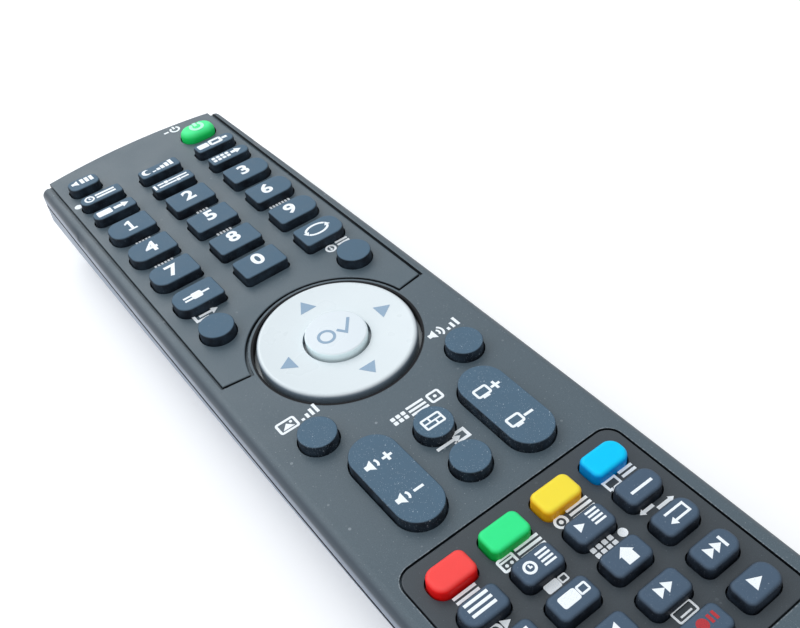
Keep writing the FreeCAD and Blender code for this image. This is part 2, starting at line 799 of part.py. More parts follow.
def make_window():
    """The dark window: its face follows the end of the case, a rim behind the wall holds it."""
    body = new_body("ir_window")
    end, radius = size("body_length") / 2, size("infrared_end_radius")
    half, rim = size("window_width") / 2, size("window_width") / 2 + size("window_rim")
    back = end - size("window_depth")
    step = back + size("window_rim_depth")
    face = end - radius + math.sqrt(radius ** 2 - half ** 2)
    right = [(rim, back), (rim, step), (half, step), (half, face)]
    left = [(-x, y) for x, y in reversed(right)]
    edges = [line(p, q) for p, q in zip(right, right[1:])]
    edges += [line(p, q) for p, q in zip(left, left[1:])]
    edges += [arc((half, face), (0, end), (-half, face)), line((-rim, back), (rim, back))]
    pad(body, "window_block", edges,
        "sizes.deck_height - sizes.window_below_deck - sizes.window_height",
        "sizes.window_height")
    nodes.append(body)


def case_hull(name, inset, top):
    """The lower shell's outside, or its inside at a wall's depth: what three prisms share."""
    half_length, half_width = size("body_length") / 2 - inset, size("body_width") / 2 - inset
    floor_radius = size("floor_edge_round") - inset
    seen_above = extrusion(name + "_above", case_outline(inset), "XY", "sizes.deck_height")
    across = extrusion(name + "_across", hull_section(
        half_width, top, size("parting_height"), size("side_round") - inset,
        size("side_lean"), inset, floor_radius), "XZ", "sizes.body_length")
    along = extrusion(name + "_along", hull_section(
        half_length, top, size("end_band_height"), size("end_round") - inset,
        size("end_lean"), inset, floor_radius), "YZ", "sizes.body_width")
    return shared(name, [seen_above, across, along])


def make_bottom_case(hull):
    """The lower shell with its tongue, board posts, battery bay and door seat."""
    wall, gap = size("case_wall"), size("fit_gap")
    inside = case_hull("hull_inside", wall, size("deck_height"))
    shell = without("bottom_shell", hull, [inside])
    tongue_out = wall + gap
    tongue_in = tongue_out + size("tongue_thickness")
    tongue = extrusion("tongue", case_outline(tongue_out) + case_outline(tongue_in), "XY",
                       "sizes.tongue_height + sizes.tongue_base",
                       "sizes.parting_height - sizes.tongue_base")
    ledge = extrusion("tongue_ledge", case_outline(wall / 2) + case_outline(tongue_in), "XY",
                      "sizes.tongue_base", "sizes.parting_height - sizes.tongue_base")
    board_low = "sizes.deck_height - sizes.board_below_deck - sizes.board_thickness"
    posts = [rod("board_post_%d_%d" % (n, s > 0), "sizes.board_post_radius",
                 "%s - sizes.case_wall / 2" % board_low,
                 ("%d * sizes.board_post_side" % s,
                  "sizes.board_post_first + %d * sizes.board_post_pitch" % n,
                  "sizes.case_wall / 2")) for n in range(BOARD_POST_PAIRS) for s in (-1, 1)]
    bay = block("bay_walls",
                ("-sizes.bay_width / 2 - sizes.bay_wall",
                 "sizes.bay_middle - sizes.bay_length / 2 - sizes.bay_wall", "sizes.case_wall / 2"),
                ("sizes.bay_width + 2 * sizes.bay_wall", "sizes.bay_length + 2 * sizes.bay_wall",
                 "%s - sizes.case_wall / 2" % board_low))
    hollow = block("bay_hollow",
                   ("-sizes.bay_width / 2", "sizes.bay_middle - sizes.bay_length / 2",
                    "-sizes.past"),
                   ("sizes.bay_width", "sizes.bay_length",
                    "%s - sizes.bay_ceiling + sizes.past" % board_low))
    slots = []
    for n, (across, end) in enumerate((a, e) for a in (-1, 1) for e in (-1, 1)):
        slots.append(block("contact_slot_%d" % n, contact_corner(across, end, "sizes.fit_gap"),
                           ("sizes.contact_width + 2 * sizes.fit_gap",
                            "sizes.contact_thickness + 2 * sizes.fit_gap",
                            "%s - sizes.contact_foot" % board_low)))
    outside_end = "-sizes.body_length / 2 - sizes.past"
    to_door_start = "sizes.body_length / 2 + sizes.past + sizes.door_start + sizes.door_gap"
    seat_low = block("door_way",
                     ("-sizes.door_width / 2 - sizes.door_gap", outside_end, "-sizes.past"),
                     ("sizes.door_width + 2 * sizes.door_gap", to_door_start,
                      "sizes.past + sizes.door_thickness + sizes.door_gap / 2"))
    seat_high = block("door_tongue_way",
                      ("-sizes.door_width / 2 - sizes.door_tongue - sizes.door_gap", outside_end,
                       "sizes.door_thickness - sizes.door_tongue_thickness - sizes.door_gap / 2"),
                      ("sizes.door_width + 2 * sizes.door_tongue + 2 * sizes.door_gap",
                       to_door_start, "sizes.door_tongue_thickness + sizes.door_gap"))
    lintel = block("door_lintel",
                   ("-sizes.door_width / 2 - sizes.door_tongue - 2 * sizes.door_gap",
                    "-sizes.body_length / 2", "sizes.case_wall / 2"),
                   ("sizes.door_width + 2 * sizes.door_tongue + 4 * sizes.door_gap",
                    "sizes.body_length / 2 + sizes.door_start + 3 * sizes.door_gap",
                    "sizes.door_thickness + sizes.door_roof - sizes.case_wall / 2"))
    solid = joined("bottom_solid", [shell, tongue, ledge, bay] + posts + [shared(
        "door_lintel_inside", [lintel, hull])])
    ways = [extrusion(name, window_way(rim), "XY", "sizes.window_height + 2 * sizes.fit_gap",
                      "sizes.deck_height - sizes.window_below_deck - sizes.window_height"
                      " - sizes.fit_gap")
            for name, rim in (("window_way", False), ("window_rim_way", True))]
    made = without("bottom_case", solid, [hollow, seat_low, seat_high] + slots + ways)
    nodes.append(made)


def contact_corner(across, end, grow):
    """Expressions for the low corner of a battery contact at one end of the bay."""
    x = "%d * sizes.cell_spacing / 2 - sizes.contact_width / 2 - %s" % (across, grow)
    if end < 0:
        y = "sizes.bay_middle - sizes.bay_length / 2 - %s" % grow
    else:
        y = "sizes.bay_middle + sizes.bay_length / 2 - sizes.contact_thickness - %s" % grow
    return x, y, "sizes.contact_foot"


def make_door(hull):
    """The battery door: a plate with a tongue on each side, cut to the outside of the case."""
    plate = block("door_plate", ("-sizes.door_width / 2", "-sizes.body_length / 2", "0"),
                  ("sizes.door_width", "sizes.body_length / 2 + sizes.door_start",
                   "sizes.door_thickness"))
    tongues = block("door_tongues",
                    ("-sizes.door_width / 2 - sizes.door_tongue", "-sizes.body_length / 2",
                     "sizes.door_thickness - sizes.door_tongue_thickness"),
                    ("sizes.door_width + 2 * sizes.door_tongue",
                     "sizes.body_length / 2 + sizes.door_start", "sizes.door_tongue_thickness"))
    trimmed = shared("door_trimmed", [joined("door_blank", [plate, tongues]), hull])
    ribs = [block("door_rib_%d" % n, ("-sizes.door_rib_width / 2",
                                      "sizes.door_rib_place - %d * sizes.door_rib_pitch" % n,
                                      "-sizes.past"),
                  ("sizes.door_rib_width", "sizes.door_rib_pitch / 2",
                   "sizes.past + sizes.door_rib_depth")) for n in range(DOOR_RIBS)]
    nodes.append(without("battery_door", trimmed, ribs))


# What the case holds

def make_mat():
    """The rubber mat on the board, open for the posts, the ring, the pegs and the diode."""
    body = new_body("keypad_mat")
    middle = (size("mat_start") + size("mat_end")) / 2
    pad(body, "mat_sheet", rounded(0, middle, size("mat_width"),
                                   size("mat_end") - size("mat_start"),
                                   [size("mat_corner")] * 4),
        "sizes.deck_height - sizes.board_below_deck", "sizes.mat_thickness")
    holes = [ring(0, size("ring_place"), size("mat_ring_hole"))]
    for cap in caps:
        at = cap["body"].Placement.Base
        holes += [ring(at.x + px, at.y + py, size("post_radius") + size("mat_hole_gap"))
                  for px, py in cap["posts"]]
    holes += peg_rings(size("mat_hole_gap"))
    mat_top = "sizes.deck_height - sizes.board_below_deck + sizes.mat_thickness"
    pocket(body, "mat_holes", holes, mat_top)
    notch = size("diode_radius") + size("mat_hole_gap")
    start = size("board_end") - size("diode_length") - size("mat_hole_gap")
    end = size("mat_end") + size("past")
    pocket(body, "diode_notch",
           polygon([(-notch, start), (notch, start), (notch, end), (-notch, end)]), mat_top)
    nodes.append(body)


def make_board():
    """The board with the parts soldered to it: chip, infrared diode and battery contacts."""
    top = "sizes.deck_height - sizes.board_below_deck"
    low = top + " - sizes.board_thickness"
    panel = block("board_panel", ("-sizes.board_width / 2", "sizes.board_start", low),
                  ("sizes.board_width", "sizes.board_end - sizes.board_start",
                   "sizes.board_thickness"))
    chip = block("chip", ("-sizes.chip_width / 2", "sizes.chip_place - sizes.chip_length / 2",
                          low + " - sizes.chip_height"),
                 ("sizes.chip_width", "sizes.chip_length", "sizes.chip_height"))
    base = block("diode_base_block", ("-sizes.diode_radius",
                                      "sizes.board_end - sizes.diode_length", top),
                 ("2 * sizes.diode_radius", "sizes.diode_base", "2 * sizes.diode_radius"))
    lens = rod("diode_lens", "sizes.diode_radius", "sizes.diode_length",
               ("0", "sizes.board_end - sizes.diode_length", top + " + sizes.diode_radius"),
               (0, 1, 0))
    tip = doc.addObject("Part::Sphere", "diode_tip")
    tip.setExpression("Radius", "sizes.diode_radius")
    place(tip, "0", "sizes.board_end")
    tip.setExpression("Placement.Base.z", top + " + sizes.diode_radius")
    diode = joined("diode", [base, lens, tip])
    contacts = [block("contact_%d" % n, contact_corner(across, end, "0"),
                      ("sizes.contact_width", "sizes.contact_thickness",
                       low + " - sizes.contact_foot"))
                for n, (across, end) in enumerate((a, e) for a in (-1, 1) for e in (-1, 1))]
    made = doc.addObject("Part::Compound", "circuit_board")
    made.Links = [panel, chip, diode] + contacts
    nodes.append(made)


def make_batteries():
    """Two AAA cells side by side, pointing opposite ways, between the contacts."""
    cells = []
    height = "sizes.cell_floor + sizes.cell_radius"
    for side in (-1, 1):
        x = "%d * sizes.cell_spacing / 2" % side
        whole = "(sizes.cell_length + sizes.cell_nub_length)"
        can_start = "sizes.bay_middle - %s / 2" % whole
        nub_start = "sizes.bay_middle + %s / 2 - sizes.cell_nub_length" % whole
        if side > 0:
            nub_start = can_start
            can_start = "sizes.bay_middle - %s / 2 + sizes.cell_nub_length" % whole
        can = rod("cell_can_%d" % (side > 0), "sizes.cell_radius", "sizes.cell_length",
                  (x, can_start, height), (0, 1, 0))
        nub = rod("cell_nub_%d" % (side > 0), "sizes.cell_nub_radius", "sizes.cell_nub_length",
                  (x, nub_start, height), (0, 1, 0))
        cells.append(joined("cell_%d" % (side > 0), [can, nub]))
    made = doc.addObject("Part::Compound", "batteries")
    made.Links = cells
    nodes.append(made)


make_upper_keys()
make_middle_keys()
make_panel_keys()
make_navigation()
make_top_case()
make_upper_plate()
make_lower_plate()
make_window()
outside = case_hull("hull_outside", 0.0, size("parting_height"))
make_bottom_case(outside)
make_door(outside)
make_mat()
make_board()
make_batteries()
doc.recompute()

# Checks and export
for item in doc.Objects:
    if "Invalid" in item.State or "Error" in item.State:
        raise RuntimeError(item.Name + " did not build")
for node in nodes:
    if node.Shape.isNull() or not node.Shape.isValid():
        raise RuntimeError(node.Label + " has no valid shape")
os.makedirs("parts", exist_ok=True)
for node in nodes:
    node.Shape.exportStep(os.path.join("parts", node.Label + ".step"))
print(len(nodes), "nodes")
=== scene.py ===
import json
import math

import bpy
import numpy as np
from mathutils import Matrix, Vector


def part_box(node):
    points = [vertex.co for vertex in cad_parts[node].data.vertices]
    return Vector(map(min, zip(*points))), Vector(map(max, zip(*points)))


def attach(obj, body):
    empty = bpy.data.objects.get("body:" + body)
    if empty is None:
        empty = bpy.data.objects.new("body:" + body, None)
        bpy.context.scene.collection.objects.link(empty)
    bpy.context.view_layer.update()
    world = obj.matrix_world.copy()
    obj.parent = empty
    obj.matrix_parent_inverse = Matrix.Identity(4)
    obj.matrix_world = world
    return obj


# A hand-held remote control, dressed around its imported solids. Metres; X runs across the
# handset, Y towards the infrared end and Z up from the surface that it lies on.
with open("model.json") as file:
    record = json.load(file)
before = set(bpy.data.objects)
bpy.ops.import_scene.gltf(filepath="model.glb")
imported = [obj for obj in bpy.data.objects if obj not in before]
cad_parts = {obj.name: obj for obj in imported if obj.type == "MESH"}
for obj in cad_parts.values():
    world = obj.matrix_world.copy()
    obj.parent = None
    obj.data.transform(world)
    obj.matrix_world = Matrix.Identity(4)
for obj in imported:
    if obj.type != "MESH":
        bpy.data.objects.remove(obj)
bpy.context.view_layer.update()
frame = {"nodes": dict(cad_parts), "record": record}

MM = 0.001

# The paper under the handset: half its side, how far it lies below, the light it throws back,
# and its colour and glow as the camera sees it
FLOOR_HALF = 4.0
FLOOR_DROP = 0.05 * MM
PAPER_BOUNCE = (0.78, 0.79, 0.80)
PAPER_SEEN = (0.97, 0.97, 0.975)
PAPER_GLOW = 0.145

# The even light from all round
SKY_COLOUR = (0.93, 0.965, 1.0)
SKY_LIGHT = 0.50

# Each lamp: azimuth and elevation in degrees, distance, width and height in metres, watts, tint
LAMPS = {
    "upper_lamp": (-150, 68, 1.0, 0.7, 0.6, 3.0, (1.0, 0.99, 0.98)),
    "far_lamp": (-6, 42, 0.9, 0.8, 0.6, 3.4, (0.95, 0.98, 1.0)),
    "left_lamp": (-75, 40, 0.9, 0.6, 0.5, 1.2, (0.94, 0.96, 1.0)),
}

# The camera: where it stands, the direction from the handset back to it, its roll, and the
# length of its lens and the width of its film in millimetres
EYE = Vector((-0.05902, -0.10265, 0.14735))
LOOKS_AWAY = Vector((-0.38598, -0.61662, 0.68615))
ROLL = math.radians(-7.433)
LENS = 44.49
FILM_WIDTH = 36.0

# Colours, linear
# Rubber tops are painted paler as lit from above, rubber sides painted near black as shade
RUBBER_TOP = (0.072, 0.130, 0.190)
PANEL_RUBBER_TOP = (0.062, 0.100, 0.152)
RUBBER_SIDE = (0.005, 0.008, 0.014)
RUBBER_DUST = (0.50, 0.58, 0.66)
CASE_GREY = (0.062, 0.092, 0.115)
# The case's side colours: a pale bluish painted reflection of the floor, darker higher up
CASE_SIDE_REFLECTION = (0.165, 0.218, 0.305)
CASE_SIDE_HIGH = (0.060, 0.090, 0.130)
# Painted shade where the deck's edge turns down
CASE_EDGE_SHADE = (0.034, 0.052, 0.072)
PLATE_GREY = (0.068, 0.100, 0.124)
PANEL_GREY = (0.025, 0.036, 0.046)
# Near black painted as shade in grooves, in openings and down the plates' sides
SHADE_BLACK = (0.004, 0.005, 0.007)
PLASTIC_DUST = (0.38, 0.43, 0.47)
CASE_SAND = (0.30, 0.34, 0.37)
# A painted highlight on the line round the lower plate's seat
CASE_RIM_HIGHLIGHT = (0.24, 0.28, 0.31)

# Heights on the case's side: the parting between its halves, painted black as shade, and where the
# side's painted reflection of the floor turns from pale to dark below the deck's edge
PARTING_LOW = 15.50 * MM
PARTING_HIGH = 16.28 * MM
SIDE_PALE = 16.6 * MM
SIDE_DARK = 19.6 * MM

# The lip of the ring's well, painted black as shade, as distances from the middle of the ring
LIP_INSIDE = 15.2 * MM
LIP_OUTSIDE = 16.10 * MM

# Above the parting, the case has only its own sides beyond these distances from its middle, and
# the walls of its openings within them
INNER_HALF_WIDTH = 22.0 * MM
INNER_HALF_LENGTH = 96.0 * MM

# The lower plate's seat: its corners' radius and the painted highlight line round it, as
# distances from the corners' middles
SEAT_CORNER = 2.8 * MM
HIGHLIGHT_INSIDE = SEAT_CORNER + 0.30 * MM
HIGHLIGHT_OUTSIDE = SEAT_CORNER + 0.42 * MM

# Printed marks, in millimetres: how far the ink stands out of what carries it, how far it is
# sunk in it, the usual width of a line, how far a plus or minus reaches from its middle, and
# the height, boldness and widening of the figures
INK_PROUD = 0.03
INK_SUNK = 0.02
INK_LINE = 0.5
SIGN_REACH = 0.95
DIGIT_HEIGHT = 3.5
DIGIT_BOLD = 0.032
DIGIT_WIDEN = 1.12


def to_linear(*levels):
    """Colour levels from 0 to 255 as light: a straight foot, then a power of 2.4."""
    share = np.array(levels, float) / 255
    light = np.where(share <= 0.04045, share / 12.92, ((share + 0.055) / 1.055) ** 2.4)
    return tuple(float(part) for part in light)


# Materials

class Finish:
    """A material whose nodes are added and linked one call at a time."""

    def __init__(self, name):
        self.material = bpy.data.materials.new(name)
        self.material.use_nodes = True
        self.tree = self.material.node_tree
        self.shader = self.tree.nodes["Principled BSDF"]
        self.place = self.add("ShaderNodeTexCoord").outputs["Object"]

    def add(self, kind, **settings):
        """A new node with its settings; sockets are filled by feed."""
        node = self.tree.nodes.new(kind)
        for setting, value in settings.items():
            setattr(node, setting, value)
        return node

    def feed(self, node, **sockets):
        """Sets a socket to a value, or links it to another node's output."""
        for socket, value in sockets.items():
            target = node.inputs[socket.replace("_", " ")]
            if isinstance(value, bpy.types.NodeSocket):
                self.tree.links.new(value, target)
            else:
                target.default_value = value
        return node

    def noise(self, size, detail=2.0):
        """Cloudy noise whose patches are about this size in metres."""
        node = self.add("ShaderNodeTexNoise")
        self.feed(node, Vector=self.place, Scale=1 / size, Detail=detail, Roughness=0.5)
        return node.outputs["Fac"]

    def ramp(self, fac, *stops):
        """A colour ramp with a stop at each (position, colour)."""
        node = self.add("ShaderNodeValToRGB")
        band = node.color_ramp
        while len(band.elements) < len(stops):
            band.elements.new(0.5)
        for element, (position, value) in zip(band.elements, stops):
            element.position = position
            element.color = tuple(value) + (1.0,)
        self.feed(node, Fac=fac)
        return node.outputs["Color"]

    def band(self, fac, low, high, bottom=0.0, top=1.0):
        """A number carried from one range to another, held at its ends."""
        node = self.add("ShaderNodeMapRange")
        for index, value in enumerate((low, high, bottom, top), start=1):
            node.inputs[index].default_value = value
        self.tree.links.new(fac, node.inputs[0])
        return node.outputs["Result"]

    def maths(self, operation, first, second=0.0):
        """One step of arithmetic on two numbers, each a value or another node's output."""
        node = self.add("ShaderNodeMath", operation=operation)
        for index, value in enumerate((first, second)):
            if isinstance(value, bpy.types.NodeSocket):
                self.tree.links.new(value, node.inputs[index])
            else:
                node.inputs[index].default_value = value
        return node.outputs["Value"]

    def mix(self, fac, first, second):
        """Two colours mixed: the first where the factor is 0 and the second where it is 1."""
        node = self.add("ShaderNodeMix", data_type="RGBA")
        for name, value in (("Factor", fac), ("A", first), ("B", second)):
            socket = next(s for s in node.inputs if s.name == name and s.enabled)
            if isinstance(value, bpy.types.NodeSocket):
                self.tree.links.new(value, socket)
            elif name == "Factor":
                socket.default_value = value
            else:
                socket.default_value = tuple(value) + (1.0,)
        return next(s for s in node.outputs if s.enabled)

    def axis(self, letter):
        """One coordinate of the place, in metres."""
        split = self.add("ShaderNodeSeparateXYZ")
        self.feed(split, Vector=self.place)
        return split.outputs[letter]

    def upness(self):
        """How far the face looks up: 1 on a flat top and 0 on an upright side."""
        split = self.add("ShaderNodeSeparateXYZ")
        self.feed(split, Vector=self.add("ShaderNodeTexCoord").outputs["Normal"])
        return split.outputs["Z"]

    def outer(self):
        """1 on the case's own sides and 0 on the walls of its openings: a side lies far from
        the middle or below the parting, and it doesn't look back at the middle, so normal
        times place isn't below nought."""
        facing = self.add("ShaderNodeVectorMath", operation="DOT_PRODUCT")
        self.tree.links.new(self.add("ShaderNodeTexCoord").outputs["Normal"], facing.inputs[0])
        self.tree.links.new(self.place, facing.inputs[1])
        away = self.maths("GREATER_THAN", facing.outputs["Value"], -0.01 * MM)
        far = [self.maths("GREATER_THAN", self.maths("ABSOLUTE", self.axis(letter)), limit)
               for letter, limit in (("X", INNER_HALF_WIDTH), ("Y", INNER_HALF_LENGTH))]
        below = self.maths("LESS_THAN", self.axis("Z"), PARTING_LOW)
        outside = self.maths("MAXIMUM", self.maths("MAXIMUM", *far), below)
        return self.maths("MULTIPLY", away, outside)

    def between(self, value, low, high, soft):
        """1 where the value lies between two others and 0 outside, over a soft edge."""
        rise = self.band(value, low - soft, low)
        fall = self.band(value, high, high + soft, 1.0, 0.0)
        return self.maths("MULTIPLY", rise, fall)

    def specks(self, size, share, soft=0.15):
        """Small round specks: cells of this size, of which this share holds one."""
        cells = self.add("ShaderNodeTexVoronoi", feature="F1")
        self.feed(cells, Vector=self.place, Scale=1 / size)
        lone = self.band(cells.outputs["Distance"], 0.18, 0.18 + soft, 1.0, 0.0)
        split = self.add("ShaderNodeSeparateColor")
        self.feed(split, Color=cells.outputs["Color"])
        chosen = self.maths("LESS_THAN", split.outputs["Red"], share)
        faint = self.band(split.outputs["Green"], 0.0, 1.0, 0.25, 1.0)
        return self.maths("MULTIPLY", self.maths("MULTIPLY", lone, chosen), faint)

    def bump(self, height, strength, depth):
        """Small relief from a height between 0 and 1, this deep in metres."""
        node = self.add("ShaderNodeBump")
        self.feed(node, Height=height, Strength=strength, Distance=depth)
        self.feed(self.shader, Normal=node.outputs["Normal"])

    def done(self, **sockets):
        """Sets the shader's own sockets and gives the material back."""
        self.feed(self.shader, **sockets)
        return self.material


def rubber(name, top, side, dust=0.5):
    """Dull moulded rubber with dust: top painted pale as lit, sides painted near black as shade.
    """
    finish = Finish(name)
    clouds = finish.noise(2.4 * MM, detail=4.0)
    # Painted light and shade: the top colour where faces look up, the side colour down the sides
    lit_top = finish.band(finish.upness(), 0.45, 0.98)
    ground = finish.mix(lit_top, side, top)
    wear_and_highlight = tuple(1.35 * part for part in top)
    mottled = finish.mix(finish.band(clouds, 0.35, 0.65, 0.0, 0.14), ground, wear_and_highlight)
    fine = finish.specks(0.17 * MM, 0.22)
    flecks = finish.specks(0.50 * MM, 0.07, soft=0.06)
    seen = finish.maths("MULTIPLY", finish.maths("ADD", fine, flecks), dust)
    dusty = finish.mix(seen, mottled, RUBBER_DUST)
    grain = finish.noise(0.16 * MM, detail=3.0)
    finish.bump(grain, 0.35, 0.05 * MM)
    rough = finish.band(clouds, 0.3, 0.7, 0.50, 0.64)
    finish.feed(finish.shader, Base_Color=dusty, Roughness=rough)
    return finish.done(IOR=1.42, Specular_IOR_Level=0.3)


def grained(finish, ground, dust):
    """The colour of moulded plastic, its fine grain and a little dust."""
    clouds = finish.noise(9 * MM, detail=3.0)
    grain = finish.noise(0.14 * MM)
    lighter = tuple(min(1.0, 1.18 * part) for part in ground)
    darker = tuple(0.86 * part for part in ground)
    speckled = finish.ramp(grain, (0.36, darker), (0.64, lighter))
    patchy = finish.mix(finish.band(clouds, 0.3, 0.7, 0.0, 0.12), speckled, lighter)
    fine = finish.specks(0.30 * MM, 0.06)
    flecks = finish.specks(1.3 * MM, 0.05, soft=0.05)
    seen = finish.maths("MULTIPLY", finish.maths("ADD", fine, flecks), dust)
    finish.bump(grain, 0.4, 0.03 * MM)
    return finish.mix(seen, patchy, PLASTIC_DUST), clouds


def moulded(name, ground, dust):
    """Satin plastic with the fine even grain of its mould, painted shade near black down its
    sides.
    """
    finish = Finish(name)
    dusty, clouds = grained(finish, ground, dust)
    # Painted shade: near black down the plate's sides, in the seam round it
    edge_shaded = finish.mix(finish.band(finish.upness(), 0.2, 0.8), SHADE_BLACK, dusty)
    finish.feed(finish.shader, Base_Color=edge_shaded,
                Roughness=finish.band(clouds, 0.3, 0.7, 0.40, 0.52))
    return finish.done(IOR=1.5)


def case_shell(name):
    """Case plastic: satin on the deck, painted dark as shade where the edge turns, smooth down the
    sides with a pale bluish painted reflection of the floor, black painted as shade in the parting
    and in the openings, and a pale painted highlight line round the lower plate's seat."""
    finish = Finish(name)
    dusty, clouds = grained(finish, CASE_GREY, 0.45)
    sand = finish.maths("MULTIPLY", finish.specks(0.20 * MM, 0.30),
                        finish.band(clouds, 0.42, 0.62, 0.05, 0.40))
    sandy = finish.mix(sand, dusty, CASE_SAND)
    # A pale painted highlight along the line round the lower plate's seat
    wear_and_highlight = finish.mix(seat_rim(finish), sandy, CASE_RIM_HIGHLIGHT)
    up = finish.upness()
    # Painted shade where the deck's edge turns down
    edge_shaded = finish.mix(finish.band(up, 0.74, 0.98), CASE_EDGE_SHADE, wear_and_highlight)
    # Case sides: pale painted reflection of the floor, darker near the deck; opening walls:
    # painted shade
    high = finish.band(finish.axis("Z"), SIDE_PALE, SIDE_DARK)
    walls = finish.mix(finish.outer(), SHADE_BLACK, finish.mix(high, CASE_SIDE_REFLECTION, CASE_SIDE_HIGH))
    sided = finish.mix(finish.band(up, 0.05, 0.32), walls, edge_shaded)
    # Black painted as shade in the parting's groove and on the well's lip
    parting = finish.between(finish.axis("Z"), PARTING_LOW, PARTING_HIGH, 0.02 * MM)
    shaded = finish.maths("MAXIMUM", parting, well_lip(finish))
    lined = finish.mix(shaded, sided, SHADE_BLACK)
    satin = finish.band(clouds, 0.3, 0.7, 0.0, 0.12)
    rough = finish.maths("ADD", satin, finish.band(up, 0.1, 0.75, 0.28, 0.40))
    dull = finish.maths("MAXIMUM", rough, shaded)
    finish.feed(finish.shader, Base_Color=lined, Roughness=dull)
    return finish.done(IOR=1.5)


def away_from(finish, node, corner=None):
    """How far a place lies from the middles of a node's round corners, seen from above: the
    root of the squares of how far it lies beyond them along X and Y. Without a corner the node
    is round, and its one middle serves."""
    low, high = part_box(node)
    squares = []
    for letter, index in (("X", 0), ("Y", 1)):
        middle, half = (low[index] + high[index]) / 2, (high[index] - low[index]) / 2
        offset = finish.maths("ABSOLUTE", finish.maths("SUBTRACT", finish.axis(letter), middle))
        reach = 0.0 if corner is None else half - corner
        beyond = finish.maths("MAXIMUM", finish.maths("SUBTRACT", offset, reach))
        squares.append(finish.maths("MULTIPLY", beyond, beyond))
    return finish.maths("SQRT", finish.maths("ADD", *squares))


def seat_rim(finish):
    """A thin line of painted highlight round the lower plate's seam, broken up by noise."""
    distance = away_from(finish, "lower_faceplate", SEAT_CORNER)
    rim = finish.between(distance, HIGHLIGHT_INSIDE, HIGHLIGHT_OUTSIDE, 0.06 * MM)
    return finish.maths("MULTIPLY", rim, finish.band(finish.noise(0.5 * MM, detail=4.0),
                                                     0.42, 0.62, 0.0, 0.8))


def well_lip(finish):
    """1 on the lip of the ring's well, above the parting, where black is painted as shade."""
    lip = finish.between(away_from(finish, "nav_disc"), LIP_INSIDE, LIP_OUTSIDE, 0.12 * MM)
    above = finish.maths("GREATER_THAN", finish.axis("Z"), PARTING_HIGH)
    return finish.maths("MULTIPLY", above, lip)


def pearl_white(name, ground, shade):
    """Pearly white paint over plastic: fine flake, faint clouds and a turned edge in a painted
    colour.
    """
    finish = Finish(name)
    clouds = finish.noise(6 * MM)
    flake = finish.noise(0.09 * MM, detail=1.0)
    darker = tuple(0.97 * part for part in ground)
    pearly = finish.ramp(flake, (0.35, darker), (0.65, ground))
    shaded = finish.mix(finish.band(clouds, 0.3, 0.7, 0.0, 0.25), pearly, darker)
    # The turned edge takes the painted edge colour: shade on the disc, a paler reflection on the
    # select key
    flat = finish.band(finish.upness(), 0.45, 0.97)
    finish.bump(flake, 0.10, 0.01 * MM)
    finish.feed(finish.shader, Base_Color=finish.mix(flat, shade, shaded),
                Roughness=finish.band(clouds, 0.3, 0.7, 0.26, 0.34))
    return finish.done(IOR=1.5)


def glossy_key(name, top, side):
    """Translucent coloured rubber: top painted paler as lit, sides painted deeper as shade."""
    finish = Finish(name)
    clouds = finish.noise(1.6 * MM, detail=3.0)
    # Painted light and shade: the paler top colour where faces look up, the deeper side colour
    # below
    ground = finish.mix(finish.band(finish.upness(), 0.25, 0.95), side, top)
    mottled = finish.mix(finish.band(clouds, 0.3, 0.7, 0.0, 0.08), ground,
                         tuple(0.8 * part for part in top))
    grain = finish.noise(0.18 * MM)
    finish.bump(grain, 0.25, 0.03 * MM)
    finish.feed(finish.shader, Base_Color=mottled,
                Roughness=finish.band(clouds, 0.3, 0.7, 0.42, 0.52))
    return finish.done(IOR=1.42, Specular_IOR_Level=0.2, Subsurface_Weight=0.35,
                       Subsurface_Radius=(1.0, 1.0, 1.0), Subsurface_Scale=1.2 * MM)


def circuit_green(name):
    """Green lacquer over copper tracks, which show as paler lines between cells."""
    finish = Finish(name)
    cells = finish.add("ShaderNodeTexVoronoi", feature="DISTANCE_TO_EDGE")
    finish.feed(cells, Vector=finish.place, Scale=1 / (3.2 * MM))
    track = finish.band(cells.outputs["Distance"], 0.05, 0.08, 1.0, 0.0)
    lacquer = finish.mix(finish.noise(5 * MM), (0.010, 0.060, 0.028), (0.016, 0.085, 0.038))
    tracked = finish.mix(track, lacquer, (0.030, 0.150, 0.060))
    finish.bump(track, 0.3, 0.03 * MM)
    finish.feed(finish.shader, Base_Color=tracked)
    return finish.done(Roughness=0.3, IOR=1.5)


def cell_sleeve(name):
    """A plain printed sleeve with a pale ring round it, between bare steel ends."""
    finish = Finish(name)
    low, high = (corner[1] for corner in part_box("batteries"))
    along = finish.axis("Y")
    sleeve = finish.between(along, low + 1.6 * MM, high - 2.6 * MM, 0.1 * MM)
    ring = finish.between(along, high - 14 * MM, high - 11 * MM, 0.1 * MM)
    foil = finish.mix(finish.noise(3 * MM), (0.030, 0.045, 0.075), (0.040, 0.058, 0.092))
    ringed = finish.mix(ring, foil, (0.45, 0.46, 0.47))
    scratch = finish.noise(0.3 * MM, detail=4.0)
    steel = finish.ramp(scratch, (0.3, (0.50, 0.50, 0.49)), (0.7, (0.64, 0.64, 0.63)))
    finish.feed(finish.shader, Base_Color=finish.mix(sleeve, steel, ringed),
                Metallic=finish.band(sleeve, 0.0, 1.0, 1.0, 0.0),
                Roughness=finish.band(scratch, 0.3, 0.7, 0.22, 0.34))
    return finish.done(IOR=1.5)


def infrared_window(name):
    """Deep red-black clear plastic, polished, with faint flow lines."""
    finish = Finish(name)
    flow = finish.noise(2 * MM, detail=1.0)
    deep = finish.ramp(flow, (0.3, (0.010, 0.002, 0.004)), (0.7, (0.020, 0.003, 0.006)))
    finish.feed(finish.shader, Base_Color=deep,
                Roughness=finish.band(flow, 0.3, 0.7, 0.05, 0.09))
    return finish.done(IOR=1.5, Specular_IOR_Level=0.18, Coat_Weight=0.12, Coat_Roughness=0.05)


